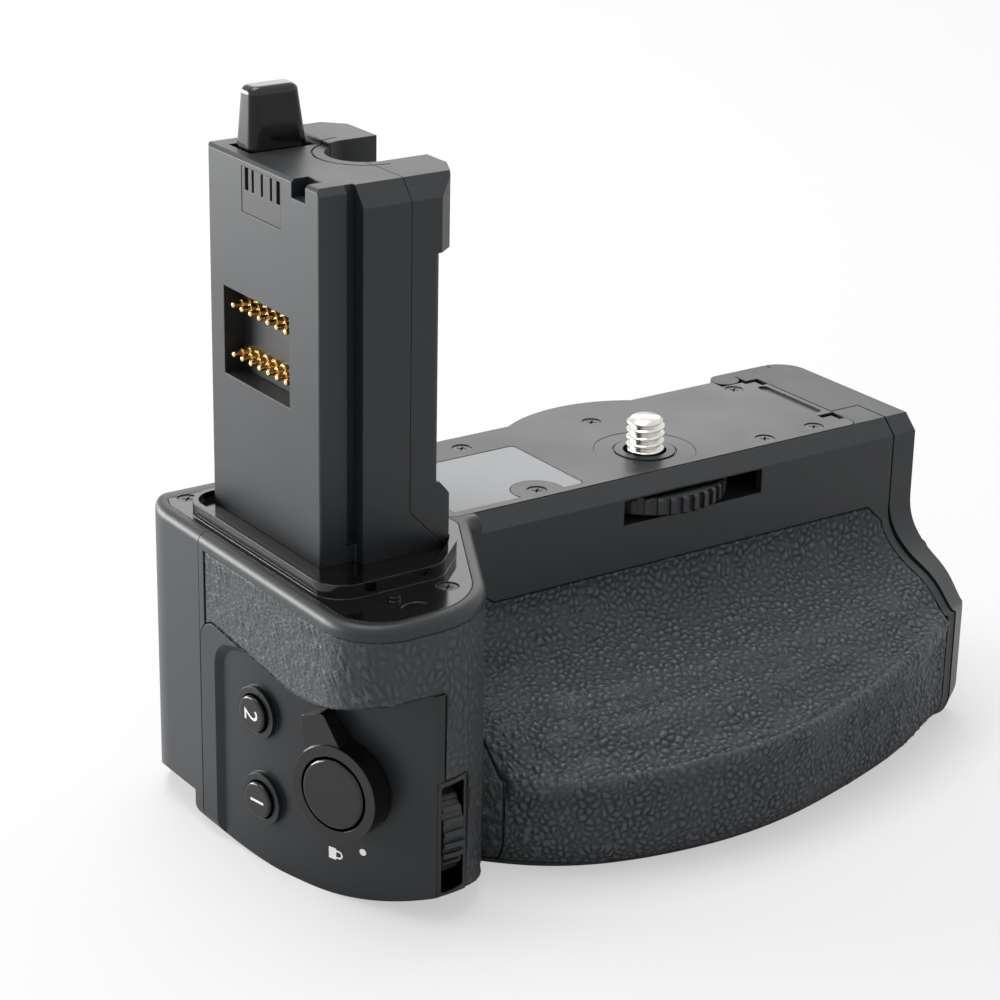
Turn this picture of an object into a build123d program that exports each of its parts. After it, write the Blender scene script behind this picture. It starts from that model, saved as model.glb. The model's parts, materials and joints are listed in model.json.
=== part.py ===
from build123d import *
import os
from math import cos, sin, radians, degrees, pi, hypot, asin, sqrt

# Battery grip for a mirrorless camera, in millimetres.
# The origin is on the attachment screw's axis, in the plane that meets the camera's base.
# +X runs towards the battery door, +Y to the rear (the photographer's side), +Z to the camera.

os.makedirs("parts", exist_ok=True)

# Whole body
SEAT_Z = 0.0
BODY_DEPTH = 49.5
WALL = 1.5
BULGE_WALL = 2.0
GAP = 0.3
RUNNING_GAP = 0.05
CUT = 5.0
SKIN = 0.9
GROOVE_WIDTH_SHARE = 0.9

# Plan of the control end, which carries the shutter button
CONTROL_END_X = -79.8
CONTROL_FRONT_Y = -39.5
CONTROL_REAR_Y = 28.0
CONTROL_SHOULDER_X = -57.2
CONTROL_FRONT_RADIUS = 9.0
CONTROL_SHOULDER_RADIUS = 15.0
CONTROL_REAR_RADIUS = 11.0
REAR_STEP_START_X = -44.0
REAR_STEP_END_X = -28.0
REAR_STEP_RADIUS = 12.0
END_ROLL = 3.6
UNDERCUT_START_Y = 8.6
UNDERCUT_HEIGHT = 5.4
UNDERCUT_DEPTH = 5.4

# Plan of the slim upper body
NECK_Y = -11.2
NECK_START_X = -41.8
NECK_CHAMFER = 2.6
REAR_Y = 21.0
SEAT_BOSS_RADIUS = 24.6
CASING_SPLIT_Y = 6.0
DOOR_SEAM_X = 44.5
INNER_CORNER_RADIUS = 2.0

# Hand grip bulge: front faces of its sections, front to back
BULGE_NECK_Z = -15.0
BULGE_EDGE_RADIUS = 6.0
BULGE_STATION_X = (-62.0, -49.0, -42.0, -31.0, -17.0, 0.0, 18.0, 32.0, 44.5)
BULGE_FRONT_Y = (-26.0, -32.0, -38.0, -42.9, -45.4, -44.6, -40.2, -34.9, -29.3)
BULGE_FULL_Z = (-41.0, -41.0, -41.0, -40.5, -40.0, -39.5, -38.0, -36.0, -34.0)
RAMP_OUT_SHARES = (0.07, 0.36, 0.75, 0.95)
RAMP_DOWN_SHARES = (0.22, 0.41, 0.57, 0.72)

# Seat plate on top
PLATE_THICKNESS = 1.5
PLATE_FRONT_Y = -8.6
PLATE_END_X = 38.5
PLATE_CORNER = 1.6
COVER_PLATE_X = -44.0
DECK_THICKNESS = 1.6
SCREW_HEAD_RADIUS = 1.6
SCREW_HEAD_DEPTH = 0.7
SCREW_SHANK_RADIUS = 0.7
SCREW_LENGTH = 2.9
SCREW_RECESS = 0.15
DRIVE_WIDTH = 0.32
DRIVE_SPAN = 1.7
DRIVE_DEPTH = 0.4
PLATE_SCREW_PLACES = ((-25.1, 16.4), (-25.6, -5.7), (0.6, 15.6), (31.7, 16.1), (31.3, -5.8), (20.5, -6.0))
LABEL_X = (-42.2, -17.3)
LABEL_Y = (-7.1, 12.9)
LABEL_DEPTH = 0.35
LABEL_NOTCH = 4.2
PILL_X = 36.6
PILL_Y = (-0.9, 14.8)
PILL_WIDTH = 2.0
PILL_DEPTH = 0.35
KEY_NOTCH_X = (35.2, 38.6)
KEY_NOTCH_WIDTH = 1.3
KEY_NOTCH_DEPTH = 1.0
KEY_NOTCH_LOW_Y = -3.4
KEY_NOTCH_HIGH_Y = 17.2
KEY_NOTCH_ARM = 2.0

# Attachment screw and its thumbwheel
SCREW_RADIUS = 3.175
SCREW_TOP = 5.8
SCREW_DOME = 1.1
SCREW_NECK_RADIUS = 2.9
SCREW_THREAD_LOW = 0.2
SCREW_BOTTOM = -7.1
SEAT_DISC_RADIUS = 8.4
SEAT_RING_RADIUS = 5.0
SCREW_HOLE_RADIUS = 3.6
WHEEL_RADIUS = 13.6
WHEEL_TOP = -3.6
WHEEL_THICKNESS = 2.9
WHEEL_TEETH = 39
WHEEL_TOOTH_DEPTH = 0.7
WHEEL_HUB_RADIUS = 5.4
WHEEL_HUB_HEIGHT = 0.5
WHEEL_SLOT_X = (-12.3, 15.9)
WHEEL_SLOT_Z = (-7.1, -2.9)

# Insert that goes into the camera's battery chamber
INSERT_X = (-72.4, -53.2)
INSERT_Y = (-17.4, 14.6)
INSERT_TOP = 57.6
INSERT_FLOOR = 1.0
INSERT_ROOT = -6.2
INSERT_SEAM_X = -58.4
INSERT_WALL = 1.4
INSERT_CHAMFER = 1.0
INSERT_END_CHAMFER = 0.5
INSERT_CORNER = 0.8
INSERT_CORNER_SHARES = (1.0, 0.5, 0.5, 0.5, 1.5, 2.0)
WIDE_X = -66.3
WIDE_STEP = 2.1
WIDE_CHAMFER_HEIGHT = 3.0
WIDE_CHAMFER_DEPTH = 2.5
GUIDE_GROOVE_WIDTH = 1.5
GUIDE_GROOVE_DEPTH = 1.0
GUIDE_GROOVE_LOW = 3.5
FLANGE_FRONT_X = -50.6
FLANGE_END_X = -48.3
FLANGE_LOW = 46.4
FLANGE_CORNER_Y = (-17.5, -13.0)
FAR_BLOCK_RAISE = 0.6
FAR_BLOCK_END_X = -49.9
FAR_BLOCK_CORNER = 3.0
FOOT_END_X = -50.9
FOOT_Z = (8.7, 11.4)
SEAM_BEND_Z = 7.5
SEAM_SLOPE = 1.04
SEAM_GAP = 0.12
NOTCH_CENTRE_Y = -2.2
NOTCH_CENTRE_X = -55.8
NOTCH_RADIUS = 5.6
NOTCH_WALL = 1.2
NOTCH_LEDGE = 1.7
NOTCH_LEDGE_DEPTH = 0.3
NOTCH_DEPTH = 11.0
RECESS_Y = (-9.0, 10.1)
RECESS_Z = (23.2, 36.9)
RECESS_DEPTH = 3.4
BLOCK_Y = (-6.9, 4.3)
BLOCK_LOW = 49.5
BLOCK_DEPTH = 4.2
BLOCK_SLOT_Y = (2.85, 1.05, -1.55, -4.15, -6.15)
BLOCK_SLOT_WIDTH = (1.0, 0.6, 0.6, 0.6, 1.0)
BLOCK_SLOT_Z = (53.0, 56.4)
BLOCK_SLOT_DEPTH = 1.6
BLADE_THICKNESS = 0.3
KEYWAY_Y = (-13.7, -9.9)
KEYWAY_DEPTH = 2.8
KEYWAY_LOW = 54.9
LUG_X = (-70.0, -59.6)
LUG_Y = (5.6, 11.4)
LUG_TOP = 66.8
LUG_TAPER = 3.0
LUG_ROUND = 1.6
LUG_SINK = 2.6

# Spring pins in the insert's recess
PIN_COUNT = 7
PIN_PITCH = 2.54
PIN_ROW_Z = (34.2, 26.5)
PIN_CENTRE_Y = 0.45
PIN_RADIUS = 0.42
PIN_SLEEVE_RADIUS = 0.68
PIN_FLARE_RADIUS = 0.95
PIN_FLARE_LENGTH = 0.5
PIN_REACH = 3.2
PIN_SLEEVE_PROUD = 1.6
PIN_TRAVEL = 1.0
PIN_BLOCK_THICKNESS = 4.4

# Cover round the insert
COVER_INSET = 2.1
COVER_REAR_INSET = 1.2
COLLAR_X = (-76.9, -49.9)
COLLAR_Y = (-27.6, 16.6)
COLLAR_TOP = 2.2
COLLAR_WALL = 0.9
COLLAR_RADIUS = 5.0
COLLAR_CUT = (8.0, 7.5)
COVER_SCREW_PLACES = ((-58.9, -30.6), (-74.0, 19.9))
COVER_BOSS_PLACE = (-68.2, -30.8)
COVER_BOSS_RADIUS = 0.9
COVER_BOSS_HEIGHT = 0.7

# Curved control panel, an arc seen from above
PANEL_RADIUS = 90.0
PANEL_CENTRE = (11.0, 6.6)
PANEL_TOP = -12.9
PANEL_DIP_PLACE = (-23.0, -16.0)
PANEL_DIP_RADIUS = 30.0
PANEL_FRONT_TOP = -11.0
PANEL_THICKNESS = 1.6
DISH_REAR_Y = 0.6
DISH_TOP = -17.0
DISH_RISE = 22.0
DISH_RIM = 0.2
DISH_SLOPE = 45.0
DISH_CORNER = 4.0
BAND_REAR_Y = 4.6
PANEL_CORNER = 4.0
PANEL_END_X = -64.8
BAND_TOP = -2.2
SKIN_SPLIT_X = -49.0
SKIN_LOW = -47.6
SKIN_TOP_LEFT_X = -37.0
SKIN_TOP_Z = -14.6
SKIN_TOP_RIGHT_X = 39.9
SKIN_END_X = 42.9
SKIN_CORNER_DROP = 3.0
SWEEP_START_Y = -19.0
SWEEP_RADIUS = 48.0
RIM_ROUND = 1.5
REAR_ROLL = 5.5
REAR_ROLL_OVERSHOOT = 0.12
ROLL_OVERSHOOT = 0.06

# Controls on the panel
SHUTTER_PLACE = (-26.0, -30.3)
SHUTTER_BUTTON_RADIUS = 5.5
SHUTTER_PROUD = 4.1
SHUTTER_STEM_RADIUS = 2.2
SHUTTER_TRAVEL = 1.2
SHUTTER_CAP_LOW = 0.8
SHUTTER_EDGE_ROUND = 0.45
SHUTTER_SWITCH_DEPTH = 5.6
SHUTTER_GUIDE_LENGTH = 2.2
SHUTTER_GUIDE_WALL = 0.6
SPRING_RADIUS = 3.5
SPRING_WIRE = 0.22
SPRING_TURNS = 4
SWITCH_BOARD_HEIGHT = 11.0
SWITCH_BOARD_WIDTH = 9.0
SWITCH_BOARD_SHIFT = 2.0
LEVER_RING_INNER = 5.9
LEVER_RING_OUTER = 7.6
LEVER_PROUD = 3.8
LEVER_FLOAT = 0.25
LEVER_TAB_REACH = 12.4
LEVER_TAB_WIDTH = 4.4
LEVER_TAB_TURN = 20.0
LEVER_TAB_FLARE = 1.2
LEVER_TAB_ROUND = 1.0
LEVER_TAB_RAISE = 0.6
LEVER_TUBE_WALL = 0.7
CUSTOM_PLACES = ((-9.4, -38.3), (-8.3, -24.3))
CUSTOM_CAP_RADIUS = 2.9
CUSTOM_PROUD = 1.7
CUSTOM_TRAVEL = 0.7
CUSTOM_STEM_RADIUS = 1.4
CUSTOM_STEM_LENGTH = 4.2
CUSTOM_EDGE_ROUND = 0.4
COLLAR_RING_OUTER = 4.2
COLLAR_RING_INNER = 3.15
COLLAR_RING_HEIGHT = 0.9
CONTROL_BOARD_THICKNESS = 0.8
SWITCH_SIZE = 4.5
SWITCH_HEIGHT = 1.4

# Front dial, its axle along X
DIAL_PLACE = (-31.6, -35.8)
DIAL_X = (-64.9, -61.3)
DIAL_RADIUS = 8.4
DIAL_TEETH = 28
DIAL_TOOTH_DEPTH = 0.55
DIAL_SLOT_X = (-66.0, -60.2)
DIAL_SLOT_Z = (-45.2, -26.4)
DIAL_SLOT_BACK_Y = -21.5
DIAL_SLOT_CORNER = 1.2
DIAL_AXLE_X = (-66.3, -59.9)
DIAL_AXLE_RADIUS = 0.9
DIAL_HOUSING_WALL = 0.7

# Rear controls, beside the thumb rest
REAR_DIAL_X = (-71.0, -66.4)
REAR_DIAL_RADIUS = 8.2
REAR_DIAL_PLACE = (21.4, -15.4)
REAR_DIAL_SLOT_X = (-71.6, -65.8)
REAR_DIAL_SLOT_Z = (-22.6, -8.2)
REAR_DIAL_AXLE_X = (-72.7, -64.7)
STICK_PLACE = (-60.0, -34.0)
STICK_CAP_RADIUS = 4.3
STICK_STEM_RADIUS = 1.3
STICK_PIN_RADIUS = 0.5
STICK_GIMBAL_RADIUS = 3.4
STICK_GIMBAL_BORE = 2.2
STICK_GIMBAL_HEIGHT = 1.8
STICK_BASE_WALL = 1.2
STICK_BASE_RISE = 1.3
STICK_PROUD = 3.2
STICK_PIVOT_DEPTH = 4.2
STICK_HOLE_RADIUS = 5.2
REAR_BUTTON_PLACES = ((-69.6, -35.0), (-50.4, -35.0))
REAR_BUTTON_RADIUS = 3.2
REAR_BUTTON_PROUD = 1.1
REAR_BUTTON_TRAVEL = 0.6
REAR_EAR_HALF = 2.6
REAR_EAR_THICKNESS = 1.2
REAR_BOARD_X = (-74.5, -45.0)
REAR_BOARD_THICKNESS = 1.0
REAR_BOARD_Z = (-44.2, -24.5)

# Battery chamber, tray and batteries
BATTERY_LENGTH = 51.7
BATTERY_WIDTH = 38.7
BATTERY_THICKNESS = 22.7
BATTERY_CORNER = 2.0
BATTERY_GAP = 0.1
BATTERY_FRONT_Y = -7.95
BATTERY_TOP_Z = -8.45
TRAY_WALL = 0.55
TRAY_GAP = 0.2
TRAY_END_X = 43.2
TRAY_WALL_HEIGHT = 30.0
CHAMBER_WALL = 0.8
TRAY_PULL_RADIUS = 6.0
TERMINAL_GAP = 0.6
TERMINAL_COUNT = 4
TERMINAL_PITCH = 3.6

# Battery door and its hinge
DOOR_OUTER_X = 49.5
DOOR_REAR_Y = 23.4
DOOR_FRONT_RADIUS = 3.4
DOOR_REAR_RADIUS = 5.0
DOOR_WALL = 1.8
DOOR_GAP = 0.3
DOOR_TONGUE_Y = -1.5
DOOR_NECK_Z = -14.0
DOOR_FULL_Z = -34.0
DOOR_SEAL_INSET = 0.5
DOOR_SEAL_WIDTH = 1.2
HINGE_CAP = 0.6
DOOR_TONGUE_THICKNESS = 2.6
HINGE_PLACE = (33.5, 20.9)
HINGE_BARREL_RADIUS = 2.5
HINGE_PIN_RADIUS = 1.0
HINGE_KNUCKLE_Z = (-34.0, -16.0)
LATCH_Y = (-15.0, -7.0)
LATCH_Z = (-32.0, -22.0)
LATCH_PROUD = 1.2
LATCH_TRAVEL = 3.0
LATCH_RIBS = 4
LATCH_PLATE_Y = (-14.0, -9.6)

# Bottom
BOTTOM_THICKNESS = 1.5
BOTTOM_OUTLINE = (
    (-69.5, 19.5),
    (-69.5, -18.0),
    (-47.0, -18.0),
    (-38.0, -30.5),
    (19.0, -30.5),
    (28.0, -24.0),
    (28.0, 19.5),
)
BOTTOM_CORNER = 3.0
BOTTOM_PLATE = 0.9
BOTTOM_LEDGE = 3.2
BOTTOM_SCREW_PLACES = (
    (-67.8, -15.0),
    (-67.8, 16.6),
    (-35.0, -28.8),
    (17.0, -28.8),
    (-38.0, 17.8),
    (0.0, 17.8),
)
BOTTOM_POST_RADIUS = 1.3
BOTTOM_SCREW_LENGTH = 4.0
BOTTOM_POST_HEIGHT = 4.0
SOCKET_X = 0.0
SOCKET_Y = -20.0
SOCKET_RADIUS = 3.175
SOCKET_DEPTH = 7.0
SOCKET_BODY_RADIUS = 7.0
SOCKET_FLANGE_RADIUS = 9.8
SOCKET_FLANGE = 2.0

# Boards
BOARD_THICKNESS = 1.2
MAIN_BOARD_X = (-38.0, 34.0)
MAIN_BOARD_Z = (-45.0, -24.5)
MAIN_BOARD_REAR_Y = -9.6
CHIP_HEIGHT = 1.2
CHIP_SIZES = (10.0, 7.0, 5.0)
CHIP_PLACE_SHARES = (0.2, 0.5, 0.8)

BODY_BOTTOM = SEAT_Z - BODY_DEPTH
SHUTTER_STEM_LENGTH = SHUTTER_SWITCH_DEPTH - SHUTTER_TRAVEL - GAP
DECK_LOW = SEAT_Z - PLATE_THICKNESS - DECK_THICKNESS
INNER_FLOOR = BODY_BOTTOM + BOTTOM_THICKNESS


def span_box(x_span, y_span, z_span):
    size = (x_span[1] - x_span[0], y_span[1] - y_span[0], z_span[1] - z_span[0])
    middle = ((x_span[0] + x_span[1]) / 2, (y_span[0] + y_span[1]) / 2, (z_span[0] + z_span[1]) / 2)
    return Pos(*middle) * Box(*size)


def round_bar(plane, radius, low, high):
    return plane * Pos(0, 0, (low + high) / 2) * Cylinder(radius, high - low)


def slab(face, low, high):
    return extrude(Pos(0, 0, low) * face, amount=high - low, dir=(0, 0, 1))


def x_prism(points, low_x, high_x):
    """A prism along X from an outline of (y, z) points."""
    outline = make_face(Polyline(*[(low_x, y, z) for y, z in points], close=True))
    return extrude(outline, amount=high_x - low_x, dir=(1, 0, 0))


def rounded_plan(x_span, y_span, radius):
    width = x_span[1] - x_span[0]
    depth = y_span[1] - y_span[0]
    middle = Pos((x_span[0] + x_span[1]) / 2, (y_span[0] + y_span[1]) / 2)
    return middle * RectangleRounded(width, depth, radius)


def toothed_disc(radius, tooth_depth, teeth, low, high):
    """A thumbwheel with round-bottomed grooves between flat teeth."""
    groove = tooth_depth * GROOVE_WIDTH_SHARE
    wheel = Pos(0, 0, (low + high) / 2) * Cylinder(radius, high - low)
    wheel = chamfer(wheel.edges().filter_by(GeomType.CIRCLE), tooth_depth / 2)
    step = 360 / teeth
    grooves = []
    for index in range(teeth):
        turn = Rot(0, 0, index * step)
        grooves.append(turn * Pos(radius, 0, (low + high) / 2) * Box(2 * tooth_depth, 2 * groove, high - low))
    return wheel - grooves


# Outer plan of the body, seen from above
def body_plan():
    hinge_wall_y = HINGE_PLACE[1] - HINGE_BARREL_RADIUS - DOOR_GAP
    hinge_wall_x = HINGE_PLACE[0] - HINGE_BARREL_RADIUS - DOOR_GAP
    corners = (
        (CONTROL_END_X, CONTROL_REAR_Y, CONTROL_REAR_RADIUS),
        (CONTROL_END_X, CONTROL_FRONT_Y, CONTROL_FRONT_RADIUS),
        (CONTROL_SHOULDER_X, CONTROL_FRONT_Y, CONTROL_SHOULDER_RADIUS),
        (NECK_START_X, NECK_Y, INNER_CORNER_RADIUS),
        (DOOR_SEAM_X, NECK_Y, 0),
        (DOOR_SEAM_X, hinge_wall_y, 0),
        (hinge_wall_x, hinge_wall_y, 0),
        (hinge_wall_x, REAR_Y, 0),
        (REAR_STEP_END_X, REAR_Y, REAR_STEP_RADIUS),
        (REAR_STEP_START_X, CONTROL_REAR_Y, REAR_STEP_RADIUS),
    )
    points = [(x, y) for x, y, radius in corners]
    radii = [radius for x, y, radius in corners]
    outline = make_face(FilletPolyline(*points, radius=radii, close=True))
    boss_box = Pos(0, SEAT_BOSS_RADIUS / 2) * Rectangle(2 * SEAT_BOSS_RADIUS, SEAT_BOSS_RADIUS)
    return outline + (Circle(SEAT_BOSS_RADIUS) & boss_box)


def bottom_sweep(inset):
    """The region under the control end, whose bottom curves up towards the front."""
    floor = BODY_BOTTOM + inset
    reach = 2 * CONTROL_FRONT_Y
    run = SWEEP_START_Y - reach
    rise = SWEEP_RADIUS - sqrt(SWEEP_RADIUS ** 2 - (run / 2) ** 2)
    start = (CONTROL_END_X - CUT, SWEEP_START_Y, floor)
    middle_y = SWEEP_START_Y - run / 2
    arc = TangentArc(start, (start[0], middle_y, floor + rise), tangent=(0, -1, 0))
    down = Line(arc @ 1, (start[0], middle_y, floor - CUT))
    back = Line((start[0], middle_y, floor - CUT), (start[0], SWEEP_START_Y, floor - CUT))
    up = Line((start[0], SWEEP_START_Y, floor - CUT), start)
    face = make_face([arc, down, back, up])
    return extrude(face, amount=BODY_DEPTH * 2, dir=(1, 0, 0))


def rear_roll():
    """The region above the rolled-over rear edge of the control end."""
    low_x = CONTROL_END_X - CUT
    front_y = CONTROL_REAR_Y - REAR_ROLL
    low_z = SEAT_Z - REAR_ROLL
    rear_y = CONTROL_REAR_Y + REAR_ROLL_OVERSHOOT
    arc = TangentArc((low_x, front_y, SEAT_Z), (low_x, rear_y, low_z), tangent=(0, 1, 0))
    out = Line((low_x, rear_y, low_z), (low_x, CONTROL_REAR_Y + CUT, low_z))
    up = Line((low_x, CONTROL_REAR_Y + CUT, low_z), (low_x, CONTROL_REAR_Y + CUT, SEAT_Z + CUT))
    top = Line((low_x, CONTROL_REAR_Y + CUT, SEAT_Z + CUT), (low_x, front_y, SEAT_Z + CUT))
    down = Line((low_x, front_y, SEAT_Z + CUT), (low_x, front_y, SEAT_Z))
    face = make_face([arc, out, up, top, down])
    return extrude(face, amount=REAR_STEP_END_X - low_x, dir=(1, 0, 0))


def end_roll(inset):
    """The region outside the round lower edge of the control end's face."""
    centre_x = CONTROL_END_X + END_ROLL
    centre_z = BODY_BOTTOM + END_ROLL
    radius = END_ROLL - inset + ROLL_OVERSHOOT
    front = 2 * CONTROL_FRONT_Y
    corner = span_box((CONTROL_END_X - CUT, centre_x), (front, UNDERCUT_START_Y), (BODY_BOTTOM - CUT, centre_z))
    drum = Pos(centre_x, (front + UNDERCUT_START_Y) / 2, centre_z) * Rot(90, 0, 0) * Cylinder(radius, 3 * BODY_DEPTH)
    return corner - drum


def end_undercut(inset):
    """The wedge under the rear of the control end's face."""
    slant = hypot(UNDERCUT_HEIGHT, UNDERCUT_DEPTH)
    shift = inset * slant / UNDERCUT_DEPTH
    rise = UNDERCUT_HEIGHT + shift
    run = UNDERCUT_DEPTH + shift * UNDERCUT_DEPTH / UNDERCUT_HEIGHT
    points = (
        (CONTROL_END_X - CUT, BODY_BOTTOM - CUT),
        (CONTROL_END_X + run + CUT * UNDERCUT_DEPTH / UNDERCUT_HEIGHT, BODY_BOTTOM - CUT),
        (CONTROL_END_X, BODY_BOTTOM + rise),
        (CONTROL_END_X - CUT, BODY_BOTTOM + rise),
    )
    return y_prism(points, UNDERCUT_START_Y - inset, CONTROL_REAR_Y + CUT)


def neck_bevel():
    reach = NECK_CHAMFER + CUT
    points = (
        (NECK_Y, SEAT_Z - NECK_CHAMFER),
        (NECK_Y + NECK_CHAMFER, SEAT_Z),
        (NECK_Y + NECK_CHAMFER, SEAT_Z + CUT),
        (NECK_Y - reach, SEAT_Z + CUT),
        (NECK_Y - reach, SEAT_Z - NECK_CHAMFER),
    )
    return x_prism(points, NECK_START_X + INNER_CORNER_RADIUS, DOOR_SEAM_X + CUT)


# Hand grip bulge, lofted through sections across X
def bulge_section(x, front_y, full_z, inset, bottom_z, neck_z):
    neck_y = NECK_Y + inset
    front = front_y + inset
    reach = neck_y - front
    top_z = neck_z - inset
    drop = top_z - full_z
    radius = BULGE_EDGE_RADIUS - inset
    ramp_points = [(x, neck_y, top_z)]
    for out_share, down_share in zip(RAMP_OUT_SHARES, RAMP_DOWN_SHARES):
        ramp_points.append((x, neck_y - reach * out_share, top_z - drop * down_share))
    ramp_points.append((x, front, full_z))
    ramp = Spline(*ramp_points, tangents=[(0, 0, -1), (0, 0, -1)])
    side = Line((x, front, full_z), (x, front, bottom_z + radius))
    corner = TangentArc((x, front, bottom_z + radius), (x, front + radius, bottom_z), tangent=(0, 0, -1))
    floor = Line((x, front + radius, bottom_z), (x, CASING_SPLIT_Y, bottom_z))
    back = Line((x, CASING_SPLIT_Y, bottom_z), (x, CASING_SPLIT_Y, top_z))
    roof = Line((x, CASING_SPLIT_Y, top_z), (x, neck_y, top_z))
    return make_face([ramp, side, corner, floor, back, roof])


def bulge(inset, bottom_z):
    sections = []
    for x, front_y, full_z in zip(BULGE_STATION_X, BULGE_FRONT_Y, BULGE_FULL_Z):
        sections.append(bulge_section(x, front_y, full_z, inset, bottom_z, BULGE_NECK_Z))
    return loft(sections)


def body_form(inset, bottom_z, top_z, bulge_inset):
    """The body's form, or the same form a given distance further in."""
    plan = body_plan()
    if inset > 0:
        plan = offset(plan, amount=-inset, kind=Kind.INTERSECTION)
    block = slab(plan, bottom_z, top_z) - bottom_sweep(bottom_z - BODY_BOTTOM)
    block = block - end_roll(inset) - end_undercut(inset)
    return block + bulge(bulge_inset, bottom_z)


# The curved face of the control panel
def panel_turn(y):
    """How far the panel has turned to the front at y, in degrees."""
    return degrees(asin((PANEL_CENTRE[1] - y) / PANEL_RADIUS))


def panel_plane(place, proud=0.0):
    """A plane on the panel at (y, z), its z axis pointing out of the panel."""
    y, z = place
    turn = radians(panel_turn(y))
    outward = (-cos(turn), -sin(turn), 0)
    upward = (0, 0, 1)
    radius = PANEL_RADIUS + proud
    centre = (PANEL_CENTRE[0] + radius * outward[0], PANEL_CENTRE[1] + radius * outward[1], z)
    return Plane(origin=centre, x_dir=upward, z_dir=outward)


def panel_drum(inset):
    height = 2 * BODY_DEPTH
    return Pos(*PANEL_CENTRE, BODY_BOTTOM) * Cylinder(PANEL_RADIUS - inset, height)


def panel_block(grow):
    """The corner of the control end that the panel fills, grown for the wall behind it."""
    low_x = CONTROL_END_X - CUT
    front = CONTROL_FRONT_Y - CUT
    low = BODY_BOTTOM - CUT
    top = PANEL_TOP + grow
    rear = CASING_SPLIT_Y + grow
    dip_y, dip_z = PANEL_DIP_PLACE
    points = [
        (low_x, rear, low),
        (low_x, rear, top),
        (low_x, dip_y, dip_z + grow),
        (low_x, front, PANEL_FRONT_TOP + grow),
        (low_x, front, low),
    ]
    radii = [0, PANEL_CORNER, PANEL_DIP_RADIUS, 0, 0]
    outline = make_face(FilletPolyline(*points, radius=radii, close=True))
    upper = extrude(outline, amount=PANEL_END_X + grow - low_x, dir=(1, 0, 0))
    lower_reach = (DIAL_SLOT_X[0] + grow, PANEL_END_X + grow + CUT)
    slot_side = span_box(lower_reach, (front - CUT, rear + CUT), (low - CUT, DIAL_SLOT_Z[1] - grow))
    return upper - slot_side


def panel_pocket():
    return panel_block(0) - panel_drum(PANEL_THICKNESS)


def dial_slot(grow=0.0):
    outline = Pos(0, 0) * Rectangle(
        DIAL_SLOT_X[1] - DIAL_SLOT_X[0] + 2 * grow,
        DIAL_SLOT_Z[1] - DIAL_SLOT_Z[0] + 2 * grow,
    )
    outline = fillet(outline.vertices(), DIAL_SLOT_CORNER + grow)
    back = DIAL_SLOT_BACK_Y + grow
    front = CONTROL_FRONT_Y - CUT
    centre = ((DIAL_SLOT_X[0] + DIAL_SLOT_X[1]) / 2, back, (DIAL_SLOT_Z[0] + DIAL_SLOT_Z[1]) / 2)
    plane = Plane(origin=centre, x_dir=(1, 0, 0), z_dir=(0, -1, 0))
    return extrude(plane * outline, amount=back - front)


def wheel_slot():
    return span_box(WHEEL_SLOT_X, (NECK_Y - CUT, 0), WHEEL_SLOT_Z)


# Leather skins, let into the casing's surface
def end_skin_region():
    reach = CONTROL_FRONT_Y - CUT
    low_x = CONTROL_END_X - CUT
    panel_gap = panel_block(0)
    band = span_box((low_x, SKIN_SPLIT_X), (reach, BAND_REAR_Y), (SKIN_LOW, BAND_TOP))
    slot_room = span_box(
        (DIAL_SLOT_X[0] - CUT, DIAL_SLOT_X[1]),
        (reach, CASING_SPLIT_Y),
        (SKIN_LOW, DIAL_SLOT_Z[1]),
    )
    behind = span_box((low_x, SKIN_SPLIT_X), (NECK_Y, BAND_REAR_Y), (SKIN_LOW, BAND_TOP))
    open_side = span_box((PANEL_END_X, SKIN_SPLIT_X), (NECK_Y - CUT, BAND_REAR_Y), (SKIN_LOW, BAND_TOP))
    return band - panel_gap - slot_room - (behind & open_side)


def front_skin_region():
    points = (
        (SKIN_SPLIT_X, SKIN_LOW),
        (SKIN_SPLIT_X, SKIN_TOP_Z + SKIN_CORNER_DROP),
        (NECK_START_X, SKIN_TOP_Z + SKIN_CORNER_DROP),
        (SKIN_TOP_LEFT_X, SKIN_TOP_Z),
        (SKIN_TOP_RIGHT_X, SKIN_TOP_Z),
        (SKIN_END_X, SKIN_TOP_Z - SKIN_CORNER_DROP),
        (SKIN_END_X, SKIN_LOW),
    )
    front = 2 * CONTROL_FRONT_Y
    outline = make_face(Polyline(*[(x, front, z) for x, z in points], close=True))
    return extrude(outline, amount=NECK_Y + SKIN - front, dir=(0, 1, 0))


# Places that several pieces share
CHAMBER_INNER_FRONT = BATTERY_FRONT_Y - BATTERY_GAP - TRAY_WALL - TRAY_GAP
CHAMBER_INNER_REAR = BATTERY_FRONT_Y + BATTERY_THICKNESS + BATTERY_GAP + TRAY_WALL + TRAY_GAP
CHAMBER_ROOF_Z = BATTERY_TOP_Z + GAP
TRAY_START_X = TRAY_END_X - 2 * BATTERY_LENGTH - 3 * TRAY_WALL - 2 * BATTERY_GAP
CHAMBER_START_X = TRAY_START_X - GAP
TONGUE_X = PLATE_END_X + DOOR_GAP


def battery_opening(grow):
    return (CHAMBER_INNER_FRONT - grow, CHAMBER_INNER_REAR + grow), (INNER_FLOOR, CHAMBER_ROOF_Z + grow)


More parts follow.
